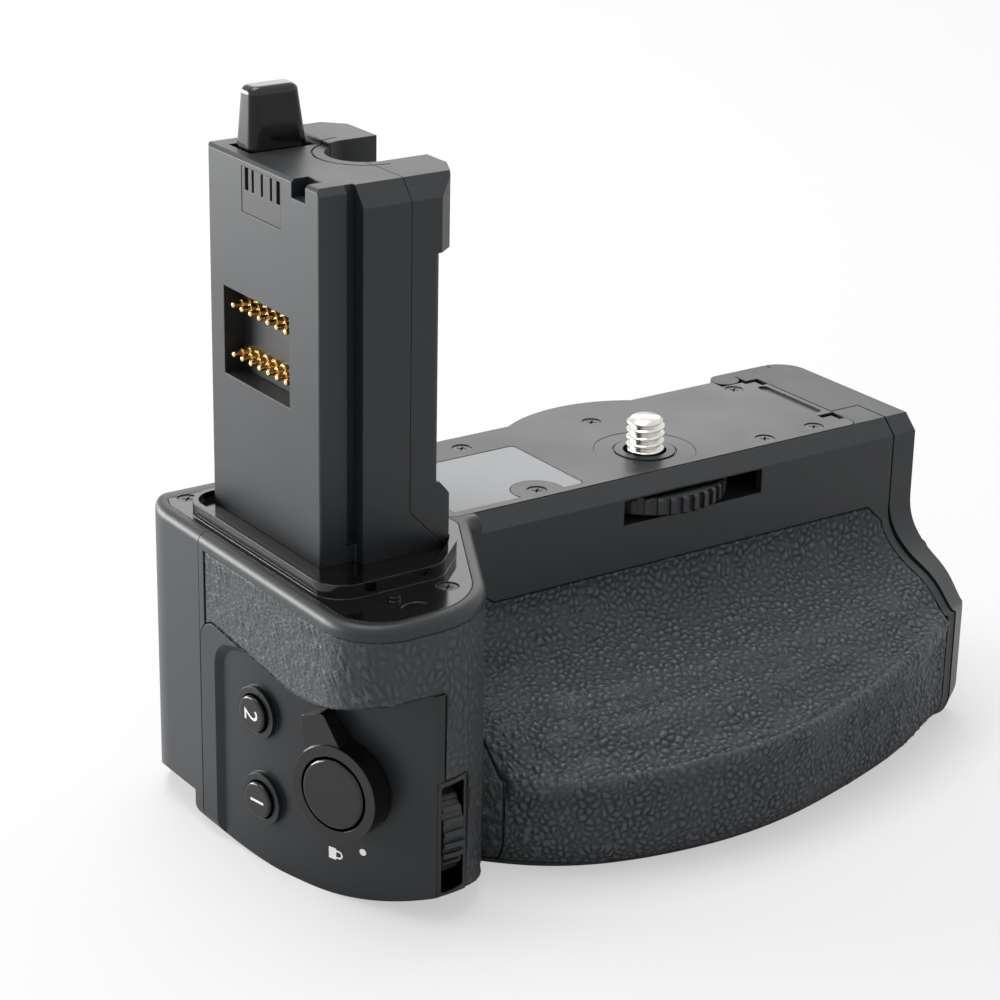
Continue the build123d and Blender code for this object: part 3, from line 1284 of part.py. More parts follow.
def make_shutter_switch():
    plane = panel_plane(SHUTTER_PLACE)
    low = -SHUTTER_SWITCH_DEPTH - CONTROL_BOARD_THICKNESS
    board = Pos(0, SWITCH_BOARD_SHIFT, low + CONTROL_BOARD_THICKNESS / 2) * Box(
        SWITCH_BOARD_HEIGHT, SWITCH_BOARD_WIDTH, CONTROL_BOARD_THICKNESS
    )
    guide = Pos(0, 0, -SHUTTER_SWITCH_DEPTH + SHUTTER_GUIDE_LENGTH / 2) * (
        Cylinder(SHUTTER_STEM_RADIUS + RUNNING_GAP + SHUTTER_GUIDE_WALL, SHUTTER_GUIDE_LENGTH)
        - Cylinder(SHUTTER_STEM_RADIUS + RUNNING_GAP, SHUTTER_GUIDE_LENGTH)
    )
    return plane * (board + guide)


def make_custom_button(place):
    plane = panel_plane(place)
    cap = Pos(0, 0, CUSTOM_PROUD / 2 - PANEL_THICKNESS / 2) * Cylinder(
        CUSTOM_CAP_RADIUS, CUSTOM_PROUD + PANEL_THICKNESS
    )
    cap = fillet(cap.edges().sort_by(Axis.Z)[-1], CUSTOM_EDGE_ROUND)
    stem = round_bar(plane, CUSTOM_STEM_RADIUS, -CUSTOM_STEM_LENGTH, 0)
    return plane * cap + stem


def make_control_board():
    middle_z = (CUSTOM_PLACES[0][1] + CUSTOM_PLACES[1][1]) / 2
    plane = panel_plane((CUSTOM_PLACES[0][0], middle_z))
    low = -CUSTOM_STEM_LENGTH - CUSTOM_TRAVEL - GAP - SWITCH_HEIGHT
    height = CUSTOM_PLACES[1][1] - CUSTOM_PLACES[0][1] + 2 * SWITCH_SIZE
    plate = Box(height, 2 * SWITCH_SIZE, CONTROL_BOARD_THICKNESS)
    board = Pos(0, 0, low - CONTROL_BOARD_THICKNESS / 2) * plate
    switches = []
    for place in CUSTOM_PLACES:
        rise = place[1] - middle_z
        switches.append(Pos(rise, 0, low + SWITCH_HEIGHT / 2) * Box(SWITCH_SIZE, SWITCH_SIZE, SWITCH_HEIGHT))
    return plane * (board + switches)


def dial_plane(x_span, place):
    middle_x = (x_span[0] + x_span[1]) / 2
    return Plane(origin=(middle_x, *place), x_dir=(0, 1, 0), z_dir=(1, 0, 0))


def dial_wheel(x_span, place, radius):
    half = (x_span[1] - x_span[0]) / 2
    wheel = toothed_disc(radius, DIAL_TOOTH_DEPTH, DIAL_TEETH, -half, half)
    bore = Cylinder(DIAL_AXLE_RADIUS + RUNNING_GAP, 4 * half)
    return dial_plane(x_span, place) * (wheel - bore)


def make_front_dial():
    return dial_wheel(DIAL_X, DIAL_PLACE, DIAL_RADIUS)


def make_front_dial_axle():
    length = DIAL_AXLE_X[1] - DIAL_AXLE_X[0]
    return dial_plane(DIAL_AXLE_X, DIAL_PLACE) * Cylinder(DIAL_AXLE_RADIUS, length)


def make_dial_housing():
    inner_back = DIAL_SLOT_BACK_Y - DIAL_HOUSING_WALL
    room = dial_slot(-DIAL_HOUSING_WALL) & span_box(
        (CONTROL_END_X, 0), (2 * CONTROL_FRONT_Y, inner_back), (2 * BODY_BOTTOM, 0)
    )
    frame = dial_slot() - room
    front = span_box((CONTROL_END_X, 0), (CONTROL_FRONT_Y + SEAM_GAP, 0), (2 * BODY_BOTTOM, 0))
    bore = dial_plane(DIAL_AXLE_X, DIAL_PLACE) * Cylinder(DIAL_AXLE_RADIUS + RUNNING_GAP, 4 * DIAL_RADIUS)
    return (frame & front & OUTER) - bore


# Rear controls
def make_rear_dial():
    return dial_wheel(REAR_DIAL_X, REAR_DIAL_PLACE, REAR_DIAL_RADIUS)


def make_rear_dial_axle():
    length = REAR_DIAL_AXLE_X[1] - REAR_DIAL_AXLE_X[0]
    return dial_plane(REAR_DIAL_AXLE_X, REAR_DIAL_PLACE) * Cylinder(DIAL_AXLE_RADIUS, length)


def make_rear_dial_bracket():
    y, z = REAR_DIAL_PLACE
    back_y = y - REAR_DIAL_RADIUS - GAP
    z_span = (z - REAR_EAR_HALF, z + REAR_EAR_HALF)
    ear_y = (back_y - REAR_EAR_THICKNESS, y + REAR_EAR_HALF)
    left_x = (REAR_DIAL_X[0] - GAP - REAR_EAR_THICKNESS, REAR_DIAL_X[0] - GAP)
    right_x = (REAR_DIAL_X[1] + GAP, REAR_DIAL_X[1] + GAP + REAR_EAR_THICKNESS)
    left = span_box(left_x, ear_y, z_span)
    right = span_box(right_x, ear_y, z_span)
    bridge_x = (left_x[0], CHAMBER_START_X - CHAMBER_WALL)
    bridge = span_box(bridge_x, (back_y - REAR_EAR_THICKNESS, back_y), z_span)
    drill = Cylinder(DIAL_AXLE_RADIUS + RUNNING_GAP, 4 * DIAL_RADIUS)
    bore = dial_plane(REAR_DIAL_AXLE_X, REAR_DIAL_PLACE) * drill
    return left + right + bridge - bore


def make_rear_board():
    low_y = CHAMBER_INNER_REAR + CHAMBER_WALL
    board = span_box(REAR_BOARD_X, (low_y, low_y + REAR_BOARD_THICKNESS), REAR_BOARD_Z)
    switch_y = (low_y + REAR_BOARD_THICKNESS, low_y + REAR_BOARD_THICKNESS + SWITCH_HEIGHT)
    switches = []
    for x, z in REAR_BUTTON_PLACES:
        half = SWITCH_SIZE / 2
        switches.append(span_box((x - half, x + half), switch_y, (z - half, z + half)))
    return board + switches


def make_rear_button(place):
    plane = rear_place(place)
    cap = Pos(0, 0, REAR_BUTTON_PROUD / 2 - WALL / 2) * Cylinder(REAR_BUTTON_RADIUS, REAR_BUTTON_PROUD + WALL)
    cap = fillet(cap.edges().sort_by(Axis.Z)[-1], CUSTOM_EDGE_ROUND)
    switch_top = CHAMBER_INNER_REAR + CHAMBER_WALL + REAR_BOARD_THICKNESS + SWITCH_HEIGHT
    stem_end = switch_top + REAR_BUTTON_TRAVEL + GAP - CONTROL_REAR_Y
    stem = round_bar(plane, CUSTOM_STEM_RADIUS, stem_end, 0)
    return plane * cap + stem


def make_stick_base():
    plane = rear_place(STICK_PLACE)
    board_top = CHAMBER_INNER_REAR + CHAMBER_WALL + REAR_BOARD_THICKNESS - CONTROL_REAR_Y
    high = STICK_BASE_RISE - STICK_PIVOT_DEPTH
    width = 2 * (STICK_GIMBAL_RADIUS + GAP + STICK_BASE_WALL)
    middle = (board_top + high) / 2
    block = Pos(0, 0, middle) * Box(width, width, high - board_top)
    cup = round_bar(Plane.XY, STICK_GIMBAL_RADIUS + GAP, board_top + STICK_BASE_WALL, high)
    bore = Pos(0, 0, -STICK_PIVOT_DEPTH) * Rot(90, 0, 0) * Cylinder(STICK_PIN_RADIUS + RUNNING_GAP, width)
    return plane * (block - cup - bore)


def make_stick_gimbal():
    plane = rear_place(STICK_PLACE)
    middle = Cylinder(STICK_GIMBAL_BORE, STICK_GIMBAL_HEIGHT)
    ring = Cylinder(STICK_GIMBAL_RADIUS, STICK_GIMBAL_HEIGHT) - middle
    outer_length = 2 * (STICK_GIMBAL_RADIUS + STICK_BASE_WALL)
    outer_pins = Rot(90, 0, 0) * Cylinder(STICK_PIN_RADIUS, outer_length) - middle
    bore = Rot(0, 90, 0) * Cylinder(STICK_PIN_RADIUS + RUNNING_GAP, outer_length)
    return plane * Pos(0, 0, -STICK_PIVOT_DEPTH) * (ring + outer_pins - bore)


def make_thumb_stick():
    plane = rear_place(STICK_PLACE)
    cap_low = STICK_PROUD / 2
    cap = Pos(0, 0, (STICK_PROUD + cap_low) / 2) * Cylinder(STICK_CAP_RADIUS, STICK_PROUD - cap_low)
    cap = fillet(cap.edges().sort_by(Axis.Z)[-1], CUSTOM_EDGE_ROUND)
    tail = -STICK_PIVOT_DEPTH - STICK_GIMBAL_HEIGHT
    stem = round_bar(Plane.XY, STICK_STEM_RADIUS, tail, cap_low)
    pin_length = 2 * (STICK_GIMBAL_RADIUS - GAP)
    pins = Pos(0, 0, -STICK_PIVOT_DEPTH) * Rot(0, 90, 0) * Cylinder(STICK_PIN_RADIUS, pin_length)
    return plane * (cap + stem + pins)


# Battery chamber, tray and batteries
def make_battery_chamber():
    opening_y, opening_z = battery_opening(0)
    outer_y, outer_z = battery_opening(CHAMBER_WALL)
    end_x = DOOR_SEAM_X - WALL
    low = INNER_FLOOR + RUNNING_GAP
    outer = span_box((CHAMBER_START_X - CHAMBER_WALL, end_x), outer_y, (low, outer_z[1]))
    inner = span_box((CHAMBER_START_X, end_x), opening_y, (low, opening_z[1]))
    windows = [span_box((CHAMBER_START_X - CHAMBER_WALL, CHAMBER_START_X), *terminal_window())]
    return outer - inner - windows


def terminal_window():
    middle_y = (CHAMBER_INNER_FRONT + CHAMBER_INNER_REAR) / 2
    half = TERMINAL_COUNT * TERMINAL_PITCH / 2
    low = BATTERY_TOP_Z - BATTERY_WIDTH + SWITCH_SIZE
    return (middle_y - half, middle_y + half), (low, low + 2 * SWITCH_SIZE)


def make_battery_terminals():
    (low_y, high_y), (low_z, high_z) = terminal_window()
    back_x = CHAMBER_START_X - CHAMBER_WALL - TERMINAL_GAP
    gap = RUNNING_GAP
    block = span_box(
        (back_x, CHAMBER_START_X - gap), (low_y + gap, high_y - gap), (low_z + gap, high_z - gap)
    )
    slots = []
    for index in range(TERMINAL_COUNT):
        middle = low_y + (index + 1 / 2) * TERMINAL_PITCH
        slot_y = (middle - TERMINAL_PITCH / 4, middle + TERMINAL_PITCH / 4)
        slot_x = (CHAMBER_START_X - CHAMBER_WALL, CHAMBER_START_X)
        slots.append(span_box(slot_x, slot_y, (low_z + CHAMBER_WALL, high_z - CHAMBER_WALL)))
    return block - slots


def make_battery_tray():
    wall = TRAY_WALL
    front = CHAMBER_INNER_FRONT + TRAY_GAP
    rear = CHAMBER_INNER_REAR - TRAY_GAP
    battery_low = BATTERY_TOP_Z - BATTERY_WIDTH
    low = battery_low - wall
    outer = span_box((TRAY_START_X, TRAY_END_X), (front, rear), (low, low + TRAY_WALL_HEIGHT))
    first_x = TRAY_START_X + wall
    second_x = first_x + BATTERY_LENGTH + BATTERY_GAP + wall
    room_y = (front + wall, rear - wall)
    rooms = []
    for start in (first_x, second_x):
        rooms.append(span_box((start, start + BATTERY_LENGTH + BATTERY_GAP), room_y, (battery_low, SEAT_Z)))
    window_y, window_z = terminal_window()
    window = span_box((TRAY_START_X - wall, first_x), window_y, window_z)
    pull_x = (TRAY_END_X - wall, TRAY_END_X)
    middle_y = (front + rear) / 2
    pull_place = Plane(origin=(pull_x[0], middle_y, low + TRAY_WALL_HEIGHT), x_dir=(0, 1, 0), z_dir=(1, 0, 0))
    pull = round_bar(pull_place, TRAY_PULL_RADIUS, 0, wall)
    return outer - rooms - window - pull


def make_battery(index):
    first_x = TRAY_START_X + TRAY_WALL + BATTERY_GAP / 2
    start = first_x + index * (BATTERY_LENGTH + BATTERY_GAP + TRAY_WALL)
    y_span = (BATTERY_FRONT_Y, BATTERY_FRONT_Y + BATTERY_THICKNESS)
    z_span = (BATTERY_TOP_Z - BATTERY_WIDTH, BATTERY_TOP_Z)
    pack = span_box((start, start + BATTERY_LENGTH), y_span, z_span)
    return fillet(pack.edges().filter_by(Axis.X), BATTERY_CORNER)


def make_main_board():
    board = span_box(MAIN_BOARD_X, (MAIN_BOARD_REAR_Y - BOARD_THICKNESS, MAIN_BOARD_REAR_Y), MAIN_BOARD_Z)
    chips = []
    middle_z = (MAIN_BOARD_Z[0] + MAIN_BOARD_Z[1]) / 2
    chip_y = (MAIN_BOARD_REAR_Y - BOARD_THICKNESS - CHIP_HEIGHT, MAIN_BOARD_REAR_Y - BOARD_THICKNESS)
    for place_share, size in zip(CHIP_PLACE_SHARES, CHIP_SIZES):
        x = MAIN_BOARD_X[0] + (MAIN_BOARD_X[1] - MAIN_BOARD_X[0]) * place_share
        half = size / 2
        chips.append(span_box((x - half, x + half), chip_y, (middle_z - half, middle_z + half)))
    return board + chips


# Battery door
def door_section(x, front_y, inset, rear_y):
    neck_y = NECK_Y + inset
    front = front_y + inset
    reach = neck_y - front
    neck_z = DOOR_NECK_Z - inset
    drop = neck_z - DOOR_FULL_Z
    radius = BULGE_EDGE_RADIUS - inset
    low = BODY_BOTTOM + inset
    top = SEAT_Z - inset
    bevel = NECK_CHAMFER - inset / 2
    ramp_points = [(x, neck_y, neck_z)]
    for out_share, down_share in zip(RAMP_OUT_SHARES, RAMP_DOWN_SHARES):
        ramp_points.append((x, neck_y - reach * out_share, neck_z - drop * down_share))
    ramp_points.append((x, front, DOOR_FULL_Z))
    edges = [
        Line((x, neck_y + bevel, top), (x, neck_y, top - bevel)),
        Line((x, neck_y, top - bevel), (x, neck_y, neck_z)),
        Spline(*ramp_points, tangents=[(0, 0, -1), (0, 0, -1)]),
        Line((x, front, DOOR_FULL_Z), (x, front, low + radius)),
        TangentArc((x, front, low + radius), (x, front + radius, low), tangent=(0, 0, -1)),
        Line((x, front + radius, low), (x, rear_y, low)),
        Line((x, rear_y, low), (x, rear_y, top)),
        Line((x, rear_y, top), (x, neck_y + bevel, top)),
    ]
    return make_face(edges)


def door_block(inset):
    inner_x = DOOR_SEAM_X + DOOR_GAP
    outer_x = DOOR_OUTER_X - inset
    rear = DOOR_REAR_Y - inset
    front_seam = BULGE_FRONT_Y[-1]
    block = loft([
        door_section(inner_x, front_seam, inset, rear),
        door_section(outer_x, front_seam + DOOR_FRONT_RADIUS, inset, rear),
    ])
    reach = 2 * CONTROL_FRONT_Y
    points = [(outer_x, reach), (outer_x, rear), (inner_x - CUT, rear), (inner_x - CUT, reach)]
    plan = make_face(FilletPolyline(*points, radius=[0, DOOR_REAR_RADIUS - inset, 0, 0], close=True))
    return block & slab(plan, 2 * BODY_BOTTOM, CUT)


def door_seal_frame(x_span, width):
    opening_y, opening_z = battery_opening(DOOR_SEAL_INSET)
    low = INNER_FLOOR + DOOR_SEAL_INSET
    outer = span_box(x_span, opening_y, (low, opening_z[1]))
    inner_y = (opening_y[0] + width, opening_y[1] - width)
    inner = span_box(x_span, inner_y, (low + width, opening_z[1] - width))
    return outer - inner


def make_battery_door():
    inner_x = DOOR_SEAM_X + DOOR_GAP
    hollow = door_block(DOOR_WALL) & span_box(
        (inner_x - CUT, DOOR_OUTER_X), (2 * CONTROL_FRONT_Y, DOOR_REAR_Y), (2 * BODY_BOTTOM, CUT)
    )
    rear_y = (REAR_Y + DOOR_GAP, DOOR_REAR_Y)
    knuckle_clear = HINGE_PLACE[0] + HINGE_BARREL_RADIUS + DOOR_GAP
    rear_wall = span_box((knuckle_clear, DOOR_OUTER_X - DOOR_REAR_RADIUS), rear_y, (BODY_BOTTOM, SEAT_Z))
    tongue_z = (SEAT_Z - DOOR_TONGUE_THICKNESS, SEAT_Z)
    tongue = span_box((TONGUE_X, inner_x + DOOR_WALL), (DOOR_TONGUE_Y, DOOR_REAR_Y - DOOR_WALL), tongue_z)
    hinge_side_y = HINGE_PLACE[1] - HINGE_BARREL_RADIUS
    tongue = tongue + span_box((knuckle_clear, TONGUE_X), (hinge_side_y, DOOR_REAR_Y - DOOR_WALL), tongue_z)
    hinge = Plane(origin=(*HINGE_PLACE, 0), x_dir=(1, 0, 0), z_dir=(0, 0, 1))
    spans = ((BODY_BOTTOM, HINGE_KNUCKLE_Z[0] - DOOR_GAP), (HINGE_KNUCKLE_Z[1] + DOOR_GAP, SEAT_Z))
    barrels = []
    for low, high in spans:
        barrels.append(round_bar(hinge, HINGE_BARREL_RADIUS, low, high))
        barrels.append(span_box((HINGE_PLACE[0], knuckle_clear), rear_y, (low, high)))
    rib = door_seal_frame((inner_x + 2 * DOOR_GAP, DOOR_OUTER_X - DOOR_WALL), DOOR_SEAL_WIDTH)
    bore = round_bar(hinge, HINGE_PIN_RADIUS + RUNNING_GAP, BODY_BOTTOM + HINGE_CAP, SEAT_Z - HINGE_CAP)
    return door_block(0) - hollow + rear_wall + tongue + barrels + rib - bore - latch_slot()


def make_door_gasket():
    inner_x = DOOR_SEAM_X + DOOR_GAP
    return door_seal_frame((inner_x + RUNNING_GAP, inner_x + 2 * DOOR_GAP), DOOR_SEAL_WIDTH)


def make_door_hinge_pin():
    hinge = Plane(origin=(*HINGE_PLACE, 0), x_dir=(1, 0, 0), z_dir=(0, 0, 1))
    return round_bar(hinge, HINGE_PIN_RADIUS, BODY_BOTTOM + HINGE_CAP + GAP, SEAT_Z - HINGE_CAP - GAP)


def latch_stem_spans(grow):
    inset = (LATCH_Y[1] - LATCH_Y[0]) / 3
    y_span = (LATCH_Y[0] + inset - grow, LATCH_Y[1] - inset + grow)
    middle = (LATCH_Z[0] + LATCH_Z[1]) / 2
    half = (LATCH_Z[1] - LATCH_Z[0]) / 6
    return y_span, (middle - half - grow, middle + half + grow)


def latch_slot():
    y_span, z_span = latch_stem_spans(GAP)
    x_span = (DOOR_OUTER_X - 2 * DOOR_WALL, DOOR_OUTER_X + CUT)
    return span_box(x_span, y_span, (z_span[0] - LATCH_TRAVEL, z_span[1]))


def make_door_latch():
    face_x = DOOR_OUTER_X + RUNNING_GAP
    thumb = span_box((face_x, face_x + LATCH_PROUD), LATCH_Y, LATCH_Z)
    thumb = fillet(thumb.edges().filter_by(Axis.X), LATCH_PROUD)
    ribs = []
    pitch = (LATCH_Z[1] - LATCH_Z[0]) / (LATCH_RIBS + 1)
    for index in range(LATCH_RIBS):
        z = LATCH_Z[0] + (index + 1) * pitch
        groove_y = (LATCH_Y[0] + LATCH_PROUD, LATCH_Y[1] - LATCH_PROUD)
        groove_x = (face_x + LATCH_PROUD / 2, face_x + 2 * LATCH_PROUD)
        ribs.append(span_box(groove_x, groove_y, (z - pitch / 4, z + pitch / 4)))
    stem_y, stem_z = latch_stem_spans(0)
    inner_x = DOOR_OUTER_X - DOOR_WALL - RUNNING_GAP
    stem = span_box((inner_x, face_x), stem_y, stem_z)
    plate = span_box((inner_x - LATCH_PROUD / 2, inner_x), LATCH_PLATE_Y, stem_z)
    return thumb - ribs + stem + plate


PIECES = {
    "front_casing": make_front_casing(),
    "rear_casing": make_rear_casing(),
    "bottom_cover": make_bottom_cover(),
    "bottom_screws": make_bottom_screws(),
    "tripod_socket": make_tripod_socket(),
    "grip_skin_end": make_end_skin(),
    "grip_skin_front": make_front_skin(),
    "seat_plate": make_seat_plate(),
    "seat_plate_screws": make_seat_plate_screws(),
    "seat_disc": make_seat_disc(),
    "label_plate": make_label_plate(),
    "attachment_screw": make_attachment_screw(),
    "attachment_wheel": make_attachment_wheel(),
    "insert_cover": make_insert_cover(),
    "insert_cover_screws": make_insert_cover_screws(),
    "column_casing": make_column_casing(),
    "column_cover": make_column_cover(),
    "guide_lug": make_guide_lug(),
    "pin_carrier": make_pin_carrier(),
    "pin_sleeves": make_pin_sleeves(),
    "contact_pins": make_contact_pins(),
    "terminal_block": make_terminal_block(),
    "terminal_contacts": make_terminal_contacts(),
    "control_panel": make_control_panel(),
    "control_board": make_control_board(),
    "shutter_button": make_shutter_button(),
    "shutter_spring": make_shutter_spring(),
    "shutter_switch": make_shutter_switch(),
    "lock_lever": make_lock_lever(),
    "custom_button_lower": make_custom_button(CUSTOM_PLACES[0]),
    "custom_button_upper": make_custom_button(CUSTOM_PLACES[1]),
    "front_dial": make_front_dial(),
    "front_dial_axle": make_front_dial_axle(),
    "front_dial_housing": make_dial_housing(),
    "rear_dial": make_rear_dial(),
    "rear_dial_axle": make_rear_dial_axle(),
    "rear_dial_bracket": make_rear_dial_bracket(),
    "rear_board": make_rear_board(),
    "rear_button_upper": make_rear_button(REAR_BUTTON_PLACES[0]),
    "rear_button_lower": make_rear_button(REAR_BUTTON_PLACES[1]),
    "stick_base": make_stick_base(),
    "stick_gimbal": make_stick_gimbal(),
    "thumb_stick": make_thumb_stick(),
    "main_board": make_main_board(),
    "battery_chamber": make_battery_chamber(),
    "battery_terminals": make_battery_terminals(),
    "battery_tray": make_battery_tray(),
    "battery_inner": make_battery(0),
    "battery_outer": make_battery(1),
    "battery_door": make_battery_door(),
    "door_gasket": make_door_gasket(),
    "door_hinge_pin": make_door_hinge_pin(),
    "door_latch": make_door_latch(),
}

for name, piece in PIECES.items():
    group = Compound(children=piece) if isinstance(piece, list) else piece
    group.label = name
    export_step(group, f"parts/{name}.step")
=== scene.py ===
import json
from math import asin, cos, exp, pi, radians, sin

import bmesh
import bpy
from mathutils import Matrix, Vector, noise
from mathutils.kdtree import KDTree


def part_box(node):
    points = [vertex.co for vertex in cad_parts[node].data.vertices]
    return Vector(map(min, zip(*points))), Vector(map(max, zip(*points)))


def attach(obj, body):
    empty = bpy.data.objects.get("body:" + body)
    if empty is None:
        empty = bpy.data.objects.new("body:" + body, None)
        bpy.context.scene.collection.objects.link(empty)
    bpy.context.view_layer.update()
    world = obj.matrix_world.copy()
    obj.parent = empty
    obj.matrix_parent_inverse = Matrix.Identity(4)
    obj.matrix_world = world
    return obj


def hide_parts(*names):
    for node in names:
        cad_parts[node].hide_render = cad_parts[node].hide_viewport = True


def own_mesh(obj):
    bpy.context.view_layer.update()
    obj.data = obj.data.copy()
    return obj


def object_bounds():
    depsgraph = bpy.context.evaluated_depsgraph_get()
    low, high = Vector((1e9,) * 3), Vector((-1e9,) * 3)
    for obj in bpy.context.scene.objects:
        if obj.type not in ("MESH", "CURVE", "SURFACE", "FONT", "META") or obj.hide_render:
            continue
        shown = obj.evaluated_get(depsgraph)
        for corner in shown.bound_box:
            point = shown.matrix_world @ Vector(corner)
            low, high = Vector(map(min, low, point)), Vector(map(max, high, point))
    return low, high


# The looks of a camera battery grip. Lengths are in metres and the frame is the part's own.
MM = 0.001
MICRON = 0.000001
FULL_TURN = 2 * pi

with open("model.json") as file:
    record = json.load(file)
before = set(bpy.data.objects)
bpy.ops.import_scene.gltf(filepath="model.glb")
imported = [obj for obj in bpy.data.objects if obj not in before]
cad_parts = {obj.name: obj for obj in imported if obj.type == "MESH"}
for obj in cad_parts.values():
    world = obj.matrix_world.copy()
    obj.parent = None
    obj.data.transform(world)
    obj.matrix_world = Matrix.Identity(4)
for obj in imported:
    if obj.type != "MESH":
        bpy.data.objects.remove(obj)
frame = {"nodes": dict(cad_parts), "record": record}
cad_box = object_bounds()
record = frame["record"]
nodes = frame["nodes"]
scene = bpy.context.scene

# Camera
CAMERA_PLACE = Vector((-269.841, -346.125, 161.299)) * MM
CAMERA_AZIMUTH = 34.867
CAMERA_ELEVATION = 21.280
CAMERA_ROLL = 1.155
CAMERA_LENS = 102.555
CAMERA_SENSOR = 36.0
CAMERA_CLIP = (0.01, 20)

# Curved control panel, an arc seen from above
PANEL_RADIUS = 90.0 * MM
PANEL_CENTRE = Vector((11.0, 6.6)) * MM
PRINT_HEIGHT = 0.015 * MM
NUMERAL_SIZE = 4.3 * MM
LOCK_PLACE = (-23.4 * MM, -42.6 * MM)
LOCK_WIDTH = 1.9 * MM
LOCK_LINE = (0.42, 0.72)
LOCK_BODY_END = 0.4
LOCK_LEG_END = 0.9
LOCK_STEPS = 12
DOT_PLACE = (-28.4 * MM, -40.7 * MM)
DOT_RADIUS = 0.55 * MM
DOT_STEPS = 24

# Paper floor and light
FLOOR_REACH = 3.0
PAPER_GLOW = 0.5
PAPER_CLOUD = 0.3
PAPER_WHITES = ((0.82, 0.825, 0.83), (0.86, 0.86, 0.865))
PAPER_ROUGHNESS = 0.9
WORLD_LIGHT = 0.42
SHOWN_WHITE = 1.0
WHITE = (1, 1, 1, 1)

# Softboxes: name, place, size and watts, each facing the object
LAMPS = (
    ("back_left_box", (-0.62, 0.78, 0.12), (0.9, 0.32), 12.5),
    ("back_right_box", (0.58, 0.85, 0.42), (0.9, 0.5), 1.7),
    ("top_box", (-0.1, 0.2, 0.95), (0.8, 0.6), 6),
)

# Sockets of a colour mix
MIX_A, MIX_B, MIX_RESULT = 6, 7, 2

# Noise from a texture mostly lies in this range
CLOUD = (0.3, 0.7)
CELL_SMOOTHNESS = 0.5
EDGE_REACH = 0.35
BEVEL_SAMPLES = 4

# Moulded plastic
PLASTIC_GRAIN = 0.16 * MM
PLASTIC_DEPTH = 6 * MICRON
PLASTIC_EDGE = 0.22 * MM
PLASTIC_TINT = -0.16
PLASTIC_CLOUD = 18 * MM
PLASTIC_LIGHTER = 1.9
PLASTIC_LIGHTER_TINT = 0.75
PLASTIC_SPREAD = (-0.03, 0.04)
PLASTIC_WORN_GLOSS = -0.08
PLASTIC_SPECULAR = 0.5

# Polished plastic
POLISH_WAVE = 6 * MM
POLISH_WAVE_DEPTH = 5 * MICRON
POLISH_DUST = 0.35 * MM
POLISH_DUST_RANGE = (0.55, 0.8)
POLISH_DUST_GLOSS = 0.08
POLISH_LIGHTER = 1.6
POLISH_SPREAD = (-0.03, 0.05)
POLISH_EDGE = 0.25 * MM

# Coated metal
COAT_CLOUD = 22 * MM
COAT_GRAIN = 0.12 * MM
COAT_DEPTH = 3 * MICRON
COAT_EDGE = 0.15 * MM
# Painted highlight: how much lighter the coat is painted along its edges, and the tints of the coat
# and of that highlight
COAT_EDGE_HIGHLIGHT_LIGHTER = 2.6
COAT_TINTS = (-0.12, -0.06)
COAT_SPREAD = (-0.04, 0.05)

# Leather material
LEATHER_CROWN = (0.47, 0.54)
# Crease colour darkened as painted shade, and crest colour lightened as a painted highlight on the
# pebbles' crowns
LEATHER_CREASE_PAINTED_SHADE = (0.007, -0.16)
LEATHER_CREST_PAINTED_HIGHLIGHT = (0.075, -0.10)
LEATHER_FINE = 0.55 * MM
LEATHER_FINE_RANGE = (0, 0.7)
LEATHER_FINE_DEPTH = 75 * MICRON
LEATHER_WARP = (0.3 * MM, 0.9 * MM)
LEATHER_CLOUD = 14 * MM
LEATHER_GLOSS = (0.60, 0.32)
LEATHER_SPREAD = (-0.04, 0.04)
LEATHER_SPECULAR = 0.40

# Bare metal
METAL_STREAK = (1.0, 1.0, 12.0)
METAL_MARKS = 0.25 * MM
METAL_MARKS_DEPTH = 3 * MICRON
METAL_MARKS_GLOSS = 0.12
METAL_STAIN = 2.5 * MM
METAL_STAIN_RANGE = (0.3, 0.75)
METAL_DARKER = 0.72
METAL_EDGE = 0.06 * MM

# Circuit board
BOARD_LINES = 1.6 * MM
BOARD_LINE_RANGE = (0.35, 0.42)
BOARD_LINE_DEPTH = 20 * MICRON
BOARD_EDGE = 0.1 * MM
BOARD_COLOURS = ((0.012, 0.07, 0.035), (0.02, 0.12, 0.055))
BOARD_GLOSS_RANGE = (0, 0.6)
BOARD_GLOSS = (0.3, 0.42)

# Ink
INK_CLOUD = 0.3 * MM
INK_DEPTH = 4 * MICRON
INK_COLOURS = ((0.66, 0.66, 0.65), (0.86, 0.86, 0.85))
INK_GLOSS = (0.45, 0.6)

# Embossed leather skins
SKIN_VOXEL = 0.28 * MM
PEBBLE_SIZE = 1.2 * MM
PEBBLE_WARP = 2.6 * MM
PEBBLE_PUSH = 0.45
PEBBLE_STEEPNESS = 1.7
PEBBLE_FULLNESS = 0.8
PEBBLE_FULLNESS_SWING = 0.5
PEBBLE_LEVEL = 0.5
PEBBLE_HEIGHTS = {"grip_skin_end": 0.17 * MM, "grip_skin_front": 0.40 * MM}
WRINKLE_ALONG = Vector((0.2, -0.55, -0.81))
WRINKLE_STRETCH = {"grip_skin_end": 0.62, "grip_skin_front": 0.0}
CREASE_SIZE = 6.5 * MM
BORDER_STEP = 0.3 * MM
BORDER_FADE = 1.2 * MM
BORDER_WIDTH = 0.5 * MM
BORDER_SINK = 0.16 * MM
BORDER_TURN = radians(40)
FOLD_TURN = radians(14)
FOLD_SPAN = (Vector((-47, -60, -37)) * MM, Vector((41, -30, -29)) * MM)
FOLD_REACH = 4.5 * MM
FOLD_ROUNDS = 160
FOLD_EASE = 0.5
FOLD_SWELL = 0.85 * MM
SKIN_WALL = 1.0 * MM
SKIN_PROUD = 0.42 * MM

